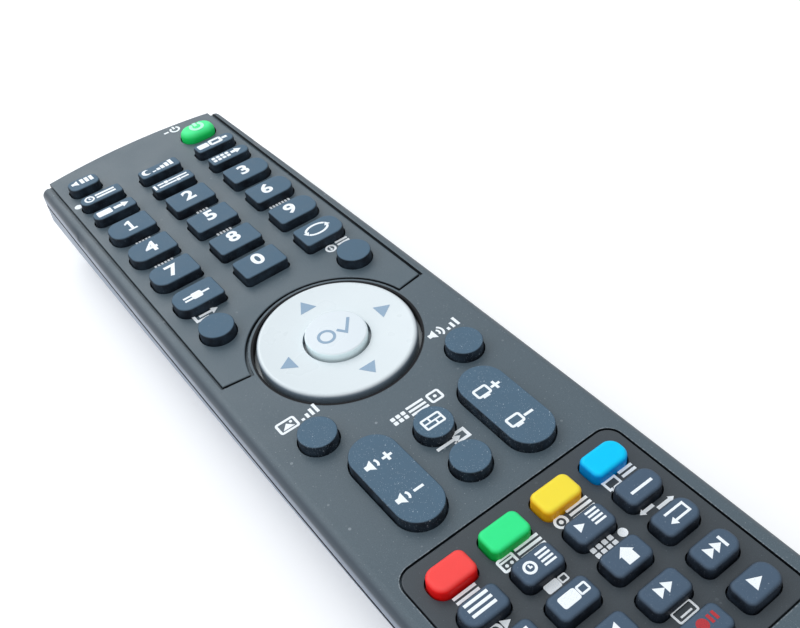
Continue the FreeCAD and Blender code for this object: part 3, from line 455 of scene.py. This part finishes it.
def ink(name, ground, wear_and_highlight):
    """Screen-printed ink: nearly even, thinner in tiny pores."""
    finish = Finish(name)
    pores = finish.noise(0.14 * MM, detail=3.0)
    inked = finish.ramp(pores, (0.30, wear_and_highlight), (0.46, ground))
    finish.bump(pores, 0.3, 0.01 * MM)
    finish.feed(finish.shader, Base_Color=inked,
                Roughness=finish.band(pores, 0.3, 0.7, 0.58, 0.46))
    return finish.done(IOR=1.45)


# Each material slot's finish. A coloured key's two colours are its top's, painted paler as lit,
# and its sides', painted deeper as shade.
finishes = {
    "upper_key": rubber("number_key_rubber", RUBBER_TOP, RUBBER_SIDE, dust=0.15),
    "middle_key": rubber("middle_key_rubber", RUBBER_TOP, RUBBER_SIDE, dust=0.75),
    "panel_key": rubber("panel_key_rubber", PANEL_RUBBER_TOP, RUBBER_SIDE, dust=0.2),
    "power_key": glossy_key("power_key_rubber", (0.090, 0.900, 0.330), (0.010, 0.720, 0.140)),
    "red_key": glossy_key("red_key_rubber", (0.970, 0.085, 0.080), (0.900, 0.006, 0.006)),
    "green_key": glossy_key("green_key_rubber", (0.040, 0.820, 0.280), (0.006, 0.520, 0.080)),
    "yellow_key": glossy_key("yellow_key_rubber", (0.950, 0.760, 0.060), (0.960, 0.440, 0.008)),
    "blue_key": glossy_key("blue_key_rubber", (0.001, 0.600, 0.970), (0.001, 0.270, 0.760)),
    # Each white's second colour is painted on its turned edge: shade on the disc, a reflection on
    # the select key
    "disc": pearl_white("disc_white", to_linear(219, 228, 232), to_linear(104, 118, 130)),
    "select_key": pearl_white("select_white", to_linear(221, 230, 236), to_linear(234, 252, 255)),
    "mat": rubber("mat_rubber", (0.10, 0.11, 0.12), (0.06, 0.065, 0.07)),
    "case": case_shell("case_plastic"),
    "case_under": case_shell("under_case_plastic"),
    "upper_plate": moulded("upper_plate_plastic", PLATE_GREY, dust=0.12),
    "lower_plate": moulded("lower_plate_plastic", PANEL_GREY, dust=0.10),
    "door": case_shell("door_plastic"),
    "window": infrared_window("window_plastic"),
    "board": circuit_green("board_lacquer"),
    "battery": cell_sleeve("cell_sleeve"),
}
slots = {part["node"]: part["material_slot"] for part in frame["record"]["subparts"]}
for node, solid in frame["nodes"].items():
    solid.data.materials.clear()
    solid.data.materials.append(finishes[slots[node]])


# Flat forms for the printed marks, in millimetres round the middle of each mark

def arc(x, y, across, up, start, end, count=13):
    """Points on an ellipse: its middle, plus each half axis times cosine or sine of the angle."""
    angle = np.radians(np.linspace(start, end, count))
    return np.stack([x + across * np.cos(angle), y + up * np.sin(angle)], axis=1)


def circle(x, y, radius, count=20):
    """A full turn of the ellipse without its repeated last point."""
    return arc(x, y, radius, radius, 0, 360, count + 1)[:-1]


def rounded(x, y, width, height, corner=0.3):
    """A rectangle whose corners are quarter circles, one after the other."""
    turns = ((1, 1, 0), (-1, 1, 90), (-1, -1, 180), (1, -1, 270))
    return np.concatenate([arc(x + right * (width / 2 - corner), y + up * (height / 2 - corner),
                               corner, corner, start, start + 90, 4)
                           for right, up, start in turns])


def ribbon(path, width, closed=False):
    """A line of ink: a rectangle carried along the path. At each point it stands across the
    mean of the two runs' directions, widened by one over the cosine of half their turn."""
    path = np.asarray(path, float)
    ahead = np.roll(path, -1, axis=0) - path
    if not closed:
        ahead[-1] = ahead[-2]
    ahead /= np.linalg.norm(ahead, axis=1, keepdims=True)
    behind = np.roll(ahead, 1, axis=0)
    if not closed:
        behind[0] = ahead[0]
    mean = ahead + behind
    mean /= np.linalg.norm(mean, axis=1, keepdims=True)
    widen = 1 / np.maximum(0.5, (mean * ahead).sum(axis=1))
    across = np.stack([-mean[:, 1], mean[:, 0]], axis=1) * (width / 2 * widen)[:, None]
    count = len(path)
    corners = np.zeros((count, 4, 3))
    corners[:, (0, 3), :2] = (path + across)[:, None]
    corners[:, (1, 2), :2] = (path - across)[:, None]
    corners[:, (0, 1), 2] = -INK_SUNK
    corners[:, (2, 3), 2] = INK_PROUD
    here = np.arange(count if closed else count - 1)[:, None]
    there = (here + 1) % count
    edge = np.arange(4)
    turned = (edge + 1) % 4
    walls = np.stack([4 * here + edge, 4 * there + edge, 4 * there + turned, 4 * here + turned],
                     axis=2).reshape(-1, 4).tolist()
    if not closed:
        walls += [[0, 1, 2, 3], [4 * count - 1, 4 * count - 2, 4 * count - 3, 4 * count - 4]]
    return corners.reshape(-1, 3), walls


def slab(outline):
    """A patch of ink: a flat outline, its copy above it and a wall between, turned to run
    anticlockwise, which is where twice its area, the sum of cross products, is above nought."""
    outline = np.asarray(outline, float)
    following = np.roll(outline, -1, axis=0)
    if (outline[:, 0] * following[:, 1] - outline[:, 1] * following[:, 0]).sum() < 0:
        outline = outline[::-1]
    count = len(outline)
    corners = np.zeros((2 * count, 3))
    corners[:, :2] = np.tile(outline, (2, 1))
    corners[:count, 2] = -INK_SUNK
    corners[count:, 2] = INK_PROUD
    here = np.arange(count)
    there = (here + 1) % count
    walls = np.stack([here, there, there + count, here + count], axis=1).tolist()
    return corners, walls + [(here + count).tolist(), here[::-1].tolist()]


def line(x0, y0, x1, y1, width=INK_LINE):
    return ribbon([(x0, y0), (x1, y1)], width)


def ring(x, y, radius, width):
    return ribbon(circle(x, y, radius), width, closed=True)


def frame_line(x, y, width, height, corner, line_width):
    return ribbon(rounded(x, y, width, height, corner), line_width, closed=True)


def wedge(x, y, width, height):
    """A triangle with its point at the right, or at the left where the width is negative."""
    back, point = x - width / 2, x + width / 2
    return slab([(back, y - height / 2), (point, y), (back, y + height / 2)])


def arrow(x0, x1, head, y=0.0, width=0.6):
    """A shaft that ends at the foot of a triangular head."""
    ahead = math.copysign(head, x1 - x0)
    return [line(x0, y, x1 - ahead, y, width), wedge(x1 - ahead / 2, y, ahead, 1.35 * head)]


def lines(x, width, count, pitch, thick=0.52):
    """Level lines one above the other, like lines of print."""
    rise = pitch * (np.arange(count) - (count - 1) / 2)
    return [line(x - width / 2, up, x + width / 2, up, thick) for up in rise]


def rising_bars(x, count, pitch, tall, thick=0.58):
    """Upright bars side by side, each taller than the one before."""
    return [line(x + pitch * step, -1.0, x + pitch * step, -1.0 + tall * (step + 1) / count, thick)
            for step in range(count)]


def quarter_turns(points):
    """The points as they are, and turned by one, two and three quarters of a turn."""
    quarter = np.array([(0, 1), (-1, 0)])
    return [points @ np.linalg.matrix_power(quarter, step) for step in range(4)]


def plus_sign(x, y):
    """A cross with equal arms, its twelve corners in turn."""
    half = INK_LINE / 2
    arm = np.array([(SIGN_REACH, -half), (SIGN_REACH, half), (half, half)])
    return slab(np.concatenate(quarter_turns(arm)) + (x, y))


def minus_sign(x, y):
    return line(x - SIGN_REACH, y, x + SIGN_REACH, y)


def speaker(x, tall):
    """A small loudspeaker from its side: a box that opens into a cone."""
    return slab([(x - 1.0, -0.42 * tall), (x - 0.4, -0.42 * tall), (x + 0.5, -tall),
                 (x + 0.5, tall), (x - 0.4, 0.42 * tall), (x - 1.0, 0.42 * tall)])


def screen(x):
    """A small screen on a foot."""
    return [frame_line(x, 0.25, 2.6, 1.8, 0.3, 0.46),
            line(x - 0.7, -1.05, x + 0.7, -1.05, 0.36)]


def house(size):
    """A house from its front: walls under a pitched roof with eaves."""
    half, eave, wall = size / 2, 0.05 * size, 0.36 * size
    return slab([(-wall, -half), (wall, -half), (wall, eave), (half, eave), (0, half),
                 (-half, eave), (-wall, eave)])


def figure_one():
    """The figure 1 with its flag and its foot, as tall as the other figures."""
    top = DIGIT_HEIGHT / 2
    return slab([(-0.95, -top), (1.05, -top), (1.05, 0.5 - top), (0.40, 0.5 - top), (0.40, top),
                 (-0.12, top), (-0.95, top - 0.6), (-0.95, top - 1.15), (-0.25, top - 0.8),
                 (-0.25, 0.5 - top), (-0.95, 0.5 - top)])


def turn_back():
    """An arrow that runs out, turns and comes back under itself."""
    path = [(-1.5, 0.9), (2.2, 0.9), (2.2, -0.7), (-0.7, -0.7)]
    return [ribbon(path, 0.4), wedge(-1.25, -0.7, -1.1, 1.4)]


def two_way_loop():
    """Two bowed arrows that chase each other round a flat loop."""
    over = arc(0, 0.1, 2.45, 1.4, 25, 172)
    under = arc(0, -0.1, 2.45, 1.4, 205, 352)
    return [ribbon(over, 0.5), ribbon(under, 0.5),
            slab([(-3.1, 0.25), (-1.8, 0.25), (-2.45, -0.85)]),
            slab([(3.1, -0.25), (1.8, -0.25), (2.45, 0.85)])]


def plug():
    """A plug with two pins and its lead."""
    return [slab(rounded(0.1, 0, 2.2, 1.9, 0.4)), line(-2.7, 0.45, -1.0, 0.45),
            line(-2.7, -0.45, -1.0, -0.45), line(1.2, 0, 2.8, 0)]


def way_out():
    """An open door frame with an arrow that leaves through it."""
    frame_path = [(0.4, 1.0), (-2.2, 1.0), (-2.2, -1.0), (0.4, -1.0)]
    return [ribbon(frame_path, 0.58)] + arrow(-1.3, 2.8, 1.4)


def note_lines():
    """A ring round a dot and a bar, beside lines of print."""
    return [ring(-1.8, 0, 0.95, 0.46), slab(circle(-1.8, 0.4, 0.22, 8)),
            line(-1.8, -0.55, -1.8, 0.05)] + lines(1.3, 2.9, 3, 0.9, thick=0.56)


def hill_frame():
    """A framed hill with the sun over it, beside rising bars."""
    return [frame_line(-2.3, 0, 3.4, 2.3, 0.3, 0.46),
            slab([(-3.5, -0.72), (-1.2, -0.72), (-2.3, 0.5)]), slab(circle(-1.4, 0.42, 0.3, 10)),
            ] + rising_bars(0.5, 4, 1.0, 2.2)


def loud_waves():
    """A loudspeaker with two bows of sound, beside rising bars."""
    return [speaker(-2.5, 1.1), ribbon(arc(-1.9, 0, 0.8, 0.8, -50, 50, 7), 0.42),
            ribbon(arc(-1.9, 0, 1.6, 1.5, -50, 50, 7), 0.42)] + rising_bars(0.7, 3, 1.1, 2.2)


def tile_row():
    """Square tiles three by two, lines of print and a framed dot."""
    tiles = [slab(rounded(-4.6 + 1.1 * step, up, 0.8, 0.8, 0.15))
             for step in range(3) for up in (-0.52, 0.52)]
    return tiles + lines(0.3, 3.6, 3, 0.9) + [frame_line(4.1, 0, 2.3, 2.0, 0.3, 0.46),
                                              slab(circle(4.1, 0, 0.35, 10))]


def into_frame():
    """An arrow that goes into a frame, open where it enters."""
    path = [(0.0, 0.9), (3.0, 0.9), (3.0, -0.9), (0.0, -0.9)]
    return [ribbon(path, 0.58)] + arrow(-3.1, 1.8, 1.4)


def small_table():
    """A framed table of two columns and two rows."""
    return [frame_line(0, 0, 3.6, 2.1, 0.2, 0.4), line(-1.6, 0, 1.6, 0, 0.32),
            line(-0.4, 0.16, -0.4, 0.85, 0.32), line(0.5, -0.85, 0.5, -0.16, 0.32)]


def calendar_lines():
    """A calendar leaf beside lines of print."""
    return [frame_line(-2.7, -0.05, 2.7, 2.1, 0.25, 0.44), line(-3.85, 0.42, -1.55, 0.42, 0.34),
            slab(circle(-3.2, -0.35, 0.3, 8)), slab(circle(-2.25, -0.35, 0.3, 8)),
            ] + lines(1.6, 4.6, 3, 0.9)


def reel_lines():
    """A ring with a dot in it beside lines of print."""
    return [ring(-2.6, 0, 1.0, 0.46), slab(circle(-2.6, 0, 0.38, 10))] + lines(1.4, 4.4, 3, 0.9)


def speech_lines():
    """A speech bubble beside lines of print."""
    bubble = [(-3.1, -0.6), (-2.7, -0.6), (-2.7, -1.15), (-2.1, -0.6), (-0.7, -0.6), (-0.7, 1.0),
              (-3.1, 1.0)]
    return [ribbon(bubble, 0.44, closed=True)] + lines(1.6, 2.9, 3, 0.9)


def tile_grid(x):
    """Square tiles in two rows of four."""
    return [slab(rounded(x + 1.15 * step, up, 0.85, 0.85, 0.15))
            for step in (-1.5, -0.5, 0.5, 1.5) for up in (-0.55, 0.55)]


def memory_stick(size):
    """A memory stick from above: its body and its metal tongue."""
    return [slab(rounded(-0.7 * size, 0, 3.2 * size, 2.0 * size, 0.4 * size)),
            frame_line(1.9 * size, 0, 1.5 * size, 1.3 * size, 0.15 * size, 0.34 * size)]


def record_ring(x):
    """A ring with a dot in it."""
    return [ring(x, 0, 0.95, 0.46), slab(circle(x, 0, 0.38, 10))]


def clock(x, radius):
    """A clock face with its two hands."""
    return [ring(x, 0, radius, 0.42), ribbon([(x, 0.5), (x, -0.05), (x + 0.4, -0.05)], 0.3)]


def moon(x, radius):
    """A crescent: the outside of one circle and back along the inside of another."""
    outer = arc(x, 0, radius, radius, 50, 310)
    inner = arc(x + 0.45 * radius, 0, 0.72 * radius, 0.72 * radius, 285, 75)
    return [slab(np.concatenate([outer, inner]))]


def double_wedge(x, ahead):
    """Two triangles one behind the other, which point right where ahead is 1, or left at -1."""
    return [wedge(x + 0.75 * side * ahead, 0, 1.5 * ahead, 2.0) for side in (-1, 1)]


def sliders():
    """Two level tracks, each with its knob."""
    return [line(-3.3, 0.52, -1.8, 0.52), line(-0.6, 0.52, 4.0, 0.52),
            line(-3.3, -0.52, 0.9, -0.52), line(2.1, -0.52, 4.0, -0.52),
            slab(rounded(-1.2, 0.52, 0.95, 0.95, 0.2)), slab(rounded(1.5, -0.52, 0.95, 0.95, 0.2))]


def on_ring(radius, width):
    """A ring that is open at its top, with an upright bar in the opening."""
    return [ribbon(arc(0, -0.1, radius, radius, 125, 415, 21), width),
            line(0, 0.1, 0, radius + 0.25, width)]


# Marks on the keys and plates

inks = {
    "white": ink("white_ink", to_linear(246, 251, 255), to_linear(206, 222, 236)),
    "steel": ink("steel_blue_ink", to_linear(140, 166, 190), to_linear(158, 182, 204)),
    "red": ink("red_ink", to_linear(178, 44, 52), to_linear(122, 36, 44)),
    "mint": ink("mint_ink", to_linear(186, 244, 222), to_linear(140, 238, 190)),
}


def joined(shapes):
    """All shapes' points in one array, with each face's numbers moved on past those before."""
    starts = np.cumsum([0] + [len(points) for points, walls in shapes])
    faces = [[start + corner for corner in wall]
             for start, (points, walls) in zip(starts, shapes) for wall in walls]
    return np.concatenate([points for points, walls in shapes]), faces


def put_mark(name, body, slot, place, top, colour, points, faces):
    """A mark as one piece: its flat form moved to its place on the surface at height top."""
    mesh = bpy.data.meshes.new(name)
    moved = (np.asarray(points) + (place[0], place[1], top)) * MM
    mesh.from_pydata(moved.tolist(), [], faces)
    mesh.update()
    mesh.materials.append(inks[colour])
    piece = bpy.data.objects.new(name, mesh)
    bpy.context.scene.collection.objects.link(piece)
    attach(piece, body)


def digit_form(character):
    """A bold figure from a text curve, scaled to the digits' height about its middle."""
    curve = bpy.data.curves.new("digit", "FONT")
    curve.body = character
    curve.extrude = 0.01
    curve.offset = DIGIT_BOLD
    curve.resolution_u = 6
    holder = bpy.data.objects.new("digit", curve)
    mesh = bpy.data.meshes.new_from_object(holder)
    points = np.zeros(3 * len(mesh.vertices))
    mesh.vertices.foreach_get("co", points)
    points = points.reshape(-1, 3)
    low, high = points.min(axis=0), points.max(axis=0)
    middle, size = (low + high) / 2, high - low
    points = (points - middle) * (DIGIT_HEIGHT / size[1])
    thick = (INK_PROUD + INK_SUNK) / (points[:, 2].max() - points[:, 2].min())
    points[:, 2] = points[:, 2] * thick + (INK_PROUD - INK_SUNK) / 2
    points[:, 0] *= DIGIT_WIDEN
    faces = [list(polygon.vertices) for polygon in mesh.polygons]
    bpy.data.objects.remove(holder)
    bpy.data.curves.remove(curve)
    return points, faces


def top_of(node):
    """The middle of a node seen from above, and the height of its top, in millimetres."""
    low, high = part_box(node)
    return (low[0] + high[0]) / 2 / MM, (low[1] + high[1]) / 2 / MM, high[2] / MM


# How far each column's figures stand from the middle of their keys
DIGIT_SHIFTS = {"147": (0.0, 0.1), "2580": (0.0, 0.8), "369": (-0.7, 0.4)}

for column, shift in DIGIT_SHIFTS.items():
    for character in column:
        x, y, top = top_of("key_" + character)
        form = figure_one() if character == "1" else digit_form(character)
        put_mark("figure_" + character, "key_" + character, "upper_key",
                 (x + shift[0], y + shift[1]), top, "white", *form)

# Each key's mark: how far it stands from the middle of the key, its colour and its form
key_marks = {
    "key_socket": (-0.05, -0.2, "white", plug()),
    "key_swap": (-0.4, 0.4, "white", two_way_loop()),
    "key_input": (-0.1, 0.5, "white",
                  [speaker(-1.5, 1.0)] + [line(across, -0.95, across, 0.95, 0.82)
                                          for across in (0.0, 1.1, 2.2)]),
    "key_bar_left_1": (-0.3, 0.1, "white",
                       [slab(rounded(-1.9, 0, 3.4, 1.9))] + arrow(0.3, 3.8, 1.5, width=0.9)),
    "key_bar_left_2": (-0.2, 0.1, "white", clock(-2.5, 0.95) + lines(1.3, 4.6, 2, 1.0, thick=0.6)),
    "key_bar_middle_1": (-0.2, 0.1, "white", sliders() + [line(-4.1, -0.9, -4.1, 0.9, 0.56)]),
    "key_bar_middle_2": (-0.2, 0.2, "white",
                         moon(-2.9, 1.1) + rising_bars(-1.2, 5, 1.1, 2.1, thick=0.85)),
    "key_bar_right_1": (-0.5, 0.2, "white",
                        tile_grid(-1.4) + arrow(1.2, 3.8, 1.5, width=0.9)),
    "key_bar_right_2": (-0.5, 0.2, "white", [slab(rounded(-2.3, 0, 2.7, 1.8)),
                                             frame_line(0.9, 0, 2.6, 1.6, 0.25, 0.7),
                                             line(2.7, 0, 4.0, 0, 0.8)]),
    "key_guide": (0.0, 0.2, "white", small_table()),
    "key_text": (-0.1, 0.4, "white", lines(0, 4.3, 3, 1.0)),
    "key_timer": (0.5, 0.1, "white", clock(-1.9, 0.9) + lines(1.1, 2.2, 4, 0.72, thick=0.38)),
    "key_list": (0.4, 0.4, "white",
                 [wedge(-1.9, 0, 1.5, 1.7)] + lines(1.1, 2.2, 4, 0.72, thick=0.38)),
    "key_subtitle": (0.0, -0.4, "white", [line(-2.2, 0, 2.2, 0, 0.5)]),
    "key_media": (0.0, 0.0, "white", record_ring(-1.2) + lines(1.4, 2.2, 3, 0.8)),
    "key_usb": (0.1, 0.2, "white", memory_stick(1.0)),
    "key_home": (0.2, 0.0, "white", [house(2.9)]),
    "key_return": (0.0, 0.1, "white", turn_back()),
    "key_previous": (0.0, 0.0, "white", double_wedge(0.4, -1.0) + [line(-1.5, -1.0, -1.5, 1.0)]),
    "key_rewind": (0.0, 0.1, "white", double_wedge(0, -1.0)),
    "key_forward": (0.1, 0.2, "white", double_wedge(0, 1.0)),
    "key_next": (0.0, 0.0, "white", double_wedge(-0.4, 1.0) + [line(1.5, -1.0, 1.5, 1.0)]),
    "key_pause": (0.0, 0.0, "white",
                  [line(across, -1.0, across, 1.0, 0.6) for across in (-0.6, 0.6)]),
    "key_stop": (0.0, 0.0, "white", [slab(rounded(0, 0, 1.9, 1.9, 0.1))]),
    "key_record": (0.7, 0.4, "red", [slab(circle(-1.0, 0, 0.95)), line(0.5, -0.7, 0.5, 0.7, 0.5),
                                     line(1.4, -0.7, 1.4, 0.7, 0.5)]),
    "key_play": (0.0, 0.1, "white", [wedge(0, 0, 2.2, 2.2)]),
    "key_select": (0.0, 0.1, "steel", [ring(-2.0, 0, 1.5, 0.56),
                                       ribbon([(0.4, 0.2), (1.5, -1.4), (3.9, 1.6)], 0.6)]),
    "key_power": (0.1, 0.2, "mint", on_ring(1.4, 0.8)),
}
for node, (right, up, colour, shapes) in key_marks.items():
    x, y, top = top_of(node)
    points, faces = joined(shapes)
    put_mark(node.replace("key_", "mark_"), node, slots[node], (x + right, y + up), top, colour,
             points, faces)

# The rockers' marks: up at the far end and down at the near end
rocker_marks = {
    "rocker_volume": [speaker(-1.9, 1.15), ribbon(arc(-1.3, 0, 0.8, 0.9, -50, 50, 7), 0.42)],
    "rocker_channel": screen(-1.3),
}
for node, picture in rocker_marks.items():
    x, y, top = top_of(node)
    for end, up, sign in (("more", 4.2, plus_sign(1.4, 0)), ("less", -4.1, minus_sign(1.4, 0))):
        points, faces = joined(picture + [sign])
        put_mark(node + "_" + end, node, slots[node], (x, y + up), top, "white", points, faces)

# The disc's four pointers, each turned a quarter from the one before. The disc is dished, so
# each point stands as high as the dish at its distance from the middle: at three distances, the
# dish lies this far below the disc's rim.
disc_x, disc_y, disc_top = top_of("nav_disc")
POINTER = np.array([(12.3, 0.0), (10.9, 0.88), (9.5, 1.75), (9.5, 0.0), (9.5, -1.75),
                    (10.9, -0.88)])
DISH_REACH = (6.4, 10.3, 14.2)
DISH_DROP = (0.6, 0.36, 0.0)
points, faces = joined([slab(turned) for turned in quarter_turns(POINTER)])
points[:, 2] -= np.interp(np.hypot(points[:, 0], points[:, 1]), DISH_REACH, DISH_DROP)
put_mark("disc_pointers", "nav_disc", "disc", (disc_x, disc_y), disc_top, "steel", points, faces)

# The plates' and the deck's marks: place in millimetres, slot, colour and form
deck_top = top_of("top_case")[2]
plate_marks = {
    "power_sign": (11.4, 101.3, "upper_plate", "white",
                   on_ring(1.05, 0.5) + [line(-2.9, -0.1, -1.7, -0.1, 0.6)]),
    "corner_dot": (-19.6, 88.5, "upper_plate", "white", [slab(circle(0, 0, 0.85, 14))]),
    "exit_sign": (-15.2, 37.6, "upper_plate", "white", way_out()),
    "notes_sign": (15.7, 36.9, "upper_plate", "white", note_lines()),
    "picture_sign": (-15.9, 3.0, "case", "white", hill_frame()),
    "sound_sign": (16.2, 3.2, "case", "white", loud_waves()),
    "menu_sign": (0.6, -8.6, "case", "white", tile_row()),
    "source_sign": (0.65, -18.2, "case", "white", into_frame()),
    "text_sign": (-15.6, -41.25, "lower_plate", "white", lines(0, 4.2, 2, 0.9)),
    "calendar_sign": (-4.9, -41.25, "lower_plate", "white", calendar_lines()),
    "reel_sign": (5.7, -41.25, "lower_plate", "white", reel_lines()),
    "speech_sign": (15.9, -41.35, "lower_plate", "white", speech_lines()),
    "media_sign": (-15.2, -48.3, "lower_plate", "white",
                   record_ring(-1.0) + [wedge(1.1, 0, 1.5, 1.7)]),
    "stick_sign": (-4.8, -48.3, "lower_plate", "white", memory_stick(0.8)),
    "tiles_sign": (5.8, -48.45, "lower_plate", "white",
                   tile_grid(-0.9) + [slab(circle(2.9, 0, 0.8))]),
    "again_sign": (16.0, -48.45, "lower_plate", "white",
                   arrow(-0.3, -3.2, 0.9, 0.45) + arrow(-0.3, 3.2, 0.9, -0.45)),
    "subtitles_sign": (5.7, -62.9, "lower_plate", "white", [frame_line(0, 0, 3.6, 1.9, 0.3, 0.34),
                                                          line(-1.1, -0.3, 1.1, -0.3, 0.3)]),
}
for name, (x, y, slot, colour, shapes) in plate_marks.items():
    put_mark(name, "case", slot, (x, y), deck_top, colour, *joined(shapes))

# A row of short dashes beyond some of the figures, on the plate: its place from the middle of
# the key, and how many dashes it has
dash_rows = {"4": (0.5, 5.85, 5), "5": (0.5, 6.15, 4), "7": (0.4, 5.85, 6), "8": (0.4, 6.15, 5),
             "9": (-0.2, 6.05, 7)}
DASH_PITCH = 0.75
for character, (right, up, count) in dash_rows.items():
    x, y, top = top_of("key_" + character)
    dashes = [line(middle, -0.4, middle, 0.4, 0.46)
              for middle in DASH_PITCH * (np.arange(count) - (count - 1) / 2)]
    put_mark("dashes_" + character, "case", "upper_plate", (x + right, y + up), deck_top, "white",
             *joined(dashes))


# Floor, light and camera

def is_seen(tree):
    """1 for the camera's own ray and for one that a shiny or clear face sends on."""
    path = tree.nodes.new("ShaderNodeLightPath")
    seen = path.outputs["Is Camera Ray"]
    for other in ("Is Glossy Ray", "Is Transmission Ray"):
        either = tree.nodes.new("ShaderNodeMath")
        either.operation = "ADD"
        either.use_clamp = True
        tree.links.new(seen, either.inputs[0])
        tree.links.new(path.outputs[other], either.inputs[1])
        seen = either.outputs[0]
    return seen


def make_floor():
    """A square of white paper just under the handset, lifted to white where it is seen."""
    finish = Finish("white_paper")
    cloth = finish.noise(0.4)
    shade = finish.ramp(cloth, (0.3, tuple(0.995 * part for part in PAPER_SEEN)),
                        (0.7, PAPER_SEEN))
    finish.feed(finish.shader, Base_Color=shade, Roughness=0.9, Specular_IOR_Level=0.0,
                Emission_Color=(1.0, 1.0, 1.0, 1.0), Emission_Strength=PAPER_GLOW)
    tree = finish.tree
    plain = finish.add("ShaderNodeBsdfDiffuse")
    finish.feed(plain, Color=PAPER_BOUNCE + (1.0,))
    choose = finish.add("ShaderNodeMixShader")
    tree.links.new(is_seen(tree), choose.inputs[0])
    tree.links.new(plain.outputs[0], choose.inputs[1])
    tree.links.new(finish.shader.outputs[0], choose.inputs[2])
    tree.links.new(choose.outputs[0], tree.nodes["Material Output"].inputs["Surface"])
    mesh = bpy.data.meshes.new("floor")
    corners = FLOOR_HALF * np.array([(-1, -1, 0), (1, -1, 0), (1, 1, 0), (-1, 1, 0)], float)
    corners[:, 2] -= FLOOR_DROP
    mesh.from_pydata(corners.tolist(), [], [(0, 1, 2, 3)])
    mesh.materials.append(finish.material)
    floor = bpy.data.objects.new("floor", mesh)
    bpy.context.scene.collection.objects.link(floor)


def soft_lamp(name, azimuth, elevation, distance, width, height, power, tint):
    """A rectangular lamp at an azimuth and elevation in degrees, facing the handset."""
    lamp = bpy.data.lights.new(name, "AREA")
    lamp.shape = "RECTANGLE"
    lamp.size = width
    lamp.size_y = height
    lamp.energy = power
    lamp.color = tint
    piece = bpy.data.objects.new(name, lamp)
    a, e = math.radians(azimuth), math.radians(elevation)
    piece.location = distance * Vector((math.sin(a) * math.cos(e), math.cos(a) * math.cos(e),
                                        math.sin(e)))
    piece.rotation_euler = piece.location.to_track_quat("Z", "Y").to_euler()
    bpy.context.scene.collection.objects.link(piece)


def make_light():
    """A pale even sky, seen as white, and soft lamps from over the camera, the far end and
    the left."""
    world = bpy.data.worlds.new("studio")
    world.use_nodes = True
    tree = world.node_tree
    sky = tree.nodes["Background"]
    sky.inputs["Color"].default_value = SKY_COLOUR + (1.0,)
    sky.inputs["Strength"].default_value = SKY_LIGHT
    white = tree.nodes.new("ShaderNodeBackground")
    white.inputs["Color"].default_value = (1.0, 1.0, 1.0, 1.0)
    white.inputs["Strength"].default_value = 1.0
    choose = tree.nodes.new("ShaderNodeMixShader")
    tree.links.new(is_seen(tree), choose.inputs[0])
    tree.links.new(sky.outputs[0], choose.inputs[1])
    tree.links.new(white.outputs[0], choose.inputs[2])
    tree.links.new(choose.outputs[0], tree.nodes["World Output"].inputs["Surface"])
    bpy.context.scene.world = world
    for name, lamp in LAMPS.items():
        soft_lamp(name, *lamp)


def make_camera():
    """The camera where the photograph was taken from: three axes from its look and its roll."""
    right = Vector((0, 0, 1)).cross(LOOKS_AWAY).normalized()
    up = LOOKS_AWAY.normalized().cross(right)
    tipped_right = right * math.cos(ROLL) + up * math.sin(ROLL)
    tipped_up = up * math.cos(ROLL) - right * math.sin(ROLL)
    lens = bpy.data.cameras.new("camera")
    lens.lens = LENS
    lens.sensor_width = FILM_WIDTH
    lens.sensor_fit = "HORIZONTAL"
    lens.clip_start = 0.005
    camera = bpy.data.objects.new("camera", lens)
    axes = Matrix((tipped_right, tipped_up, LOOKS_AWAY.normalized())).transposed()
    camera.matrix_world = Matrix.Translation(EYE) @ axes.to_4x4()
    bpy.context.scene.collection.objects.link(camera)
    bpy.context.scene.camera = camera


make_floor()
make_light()
make_camera()
bpy.context.scene.view_settings.view_transform = "Standard"
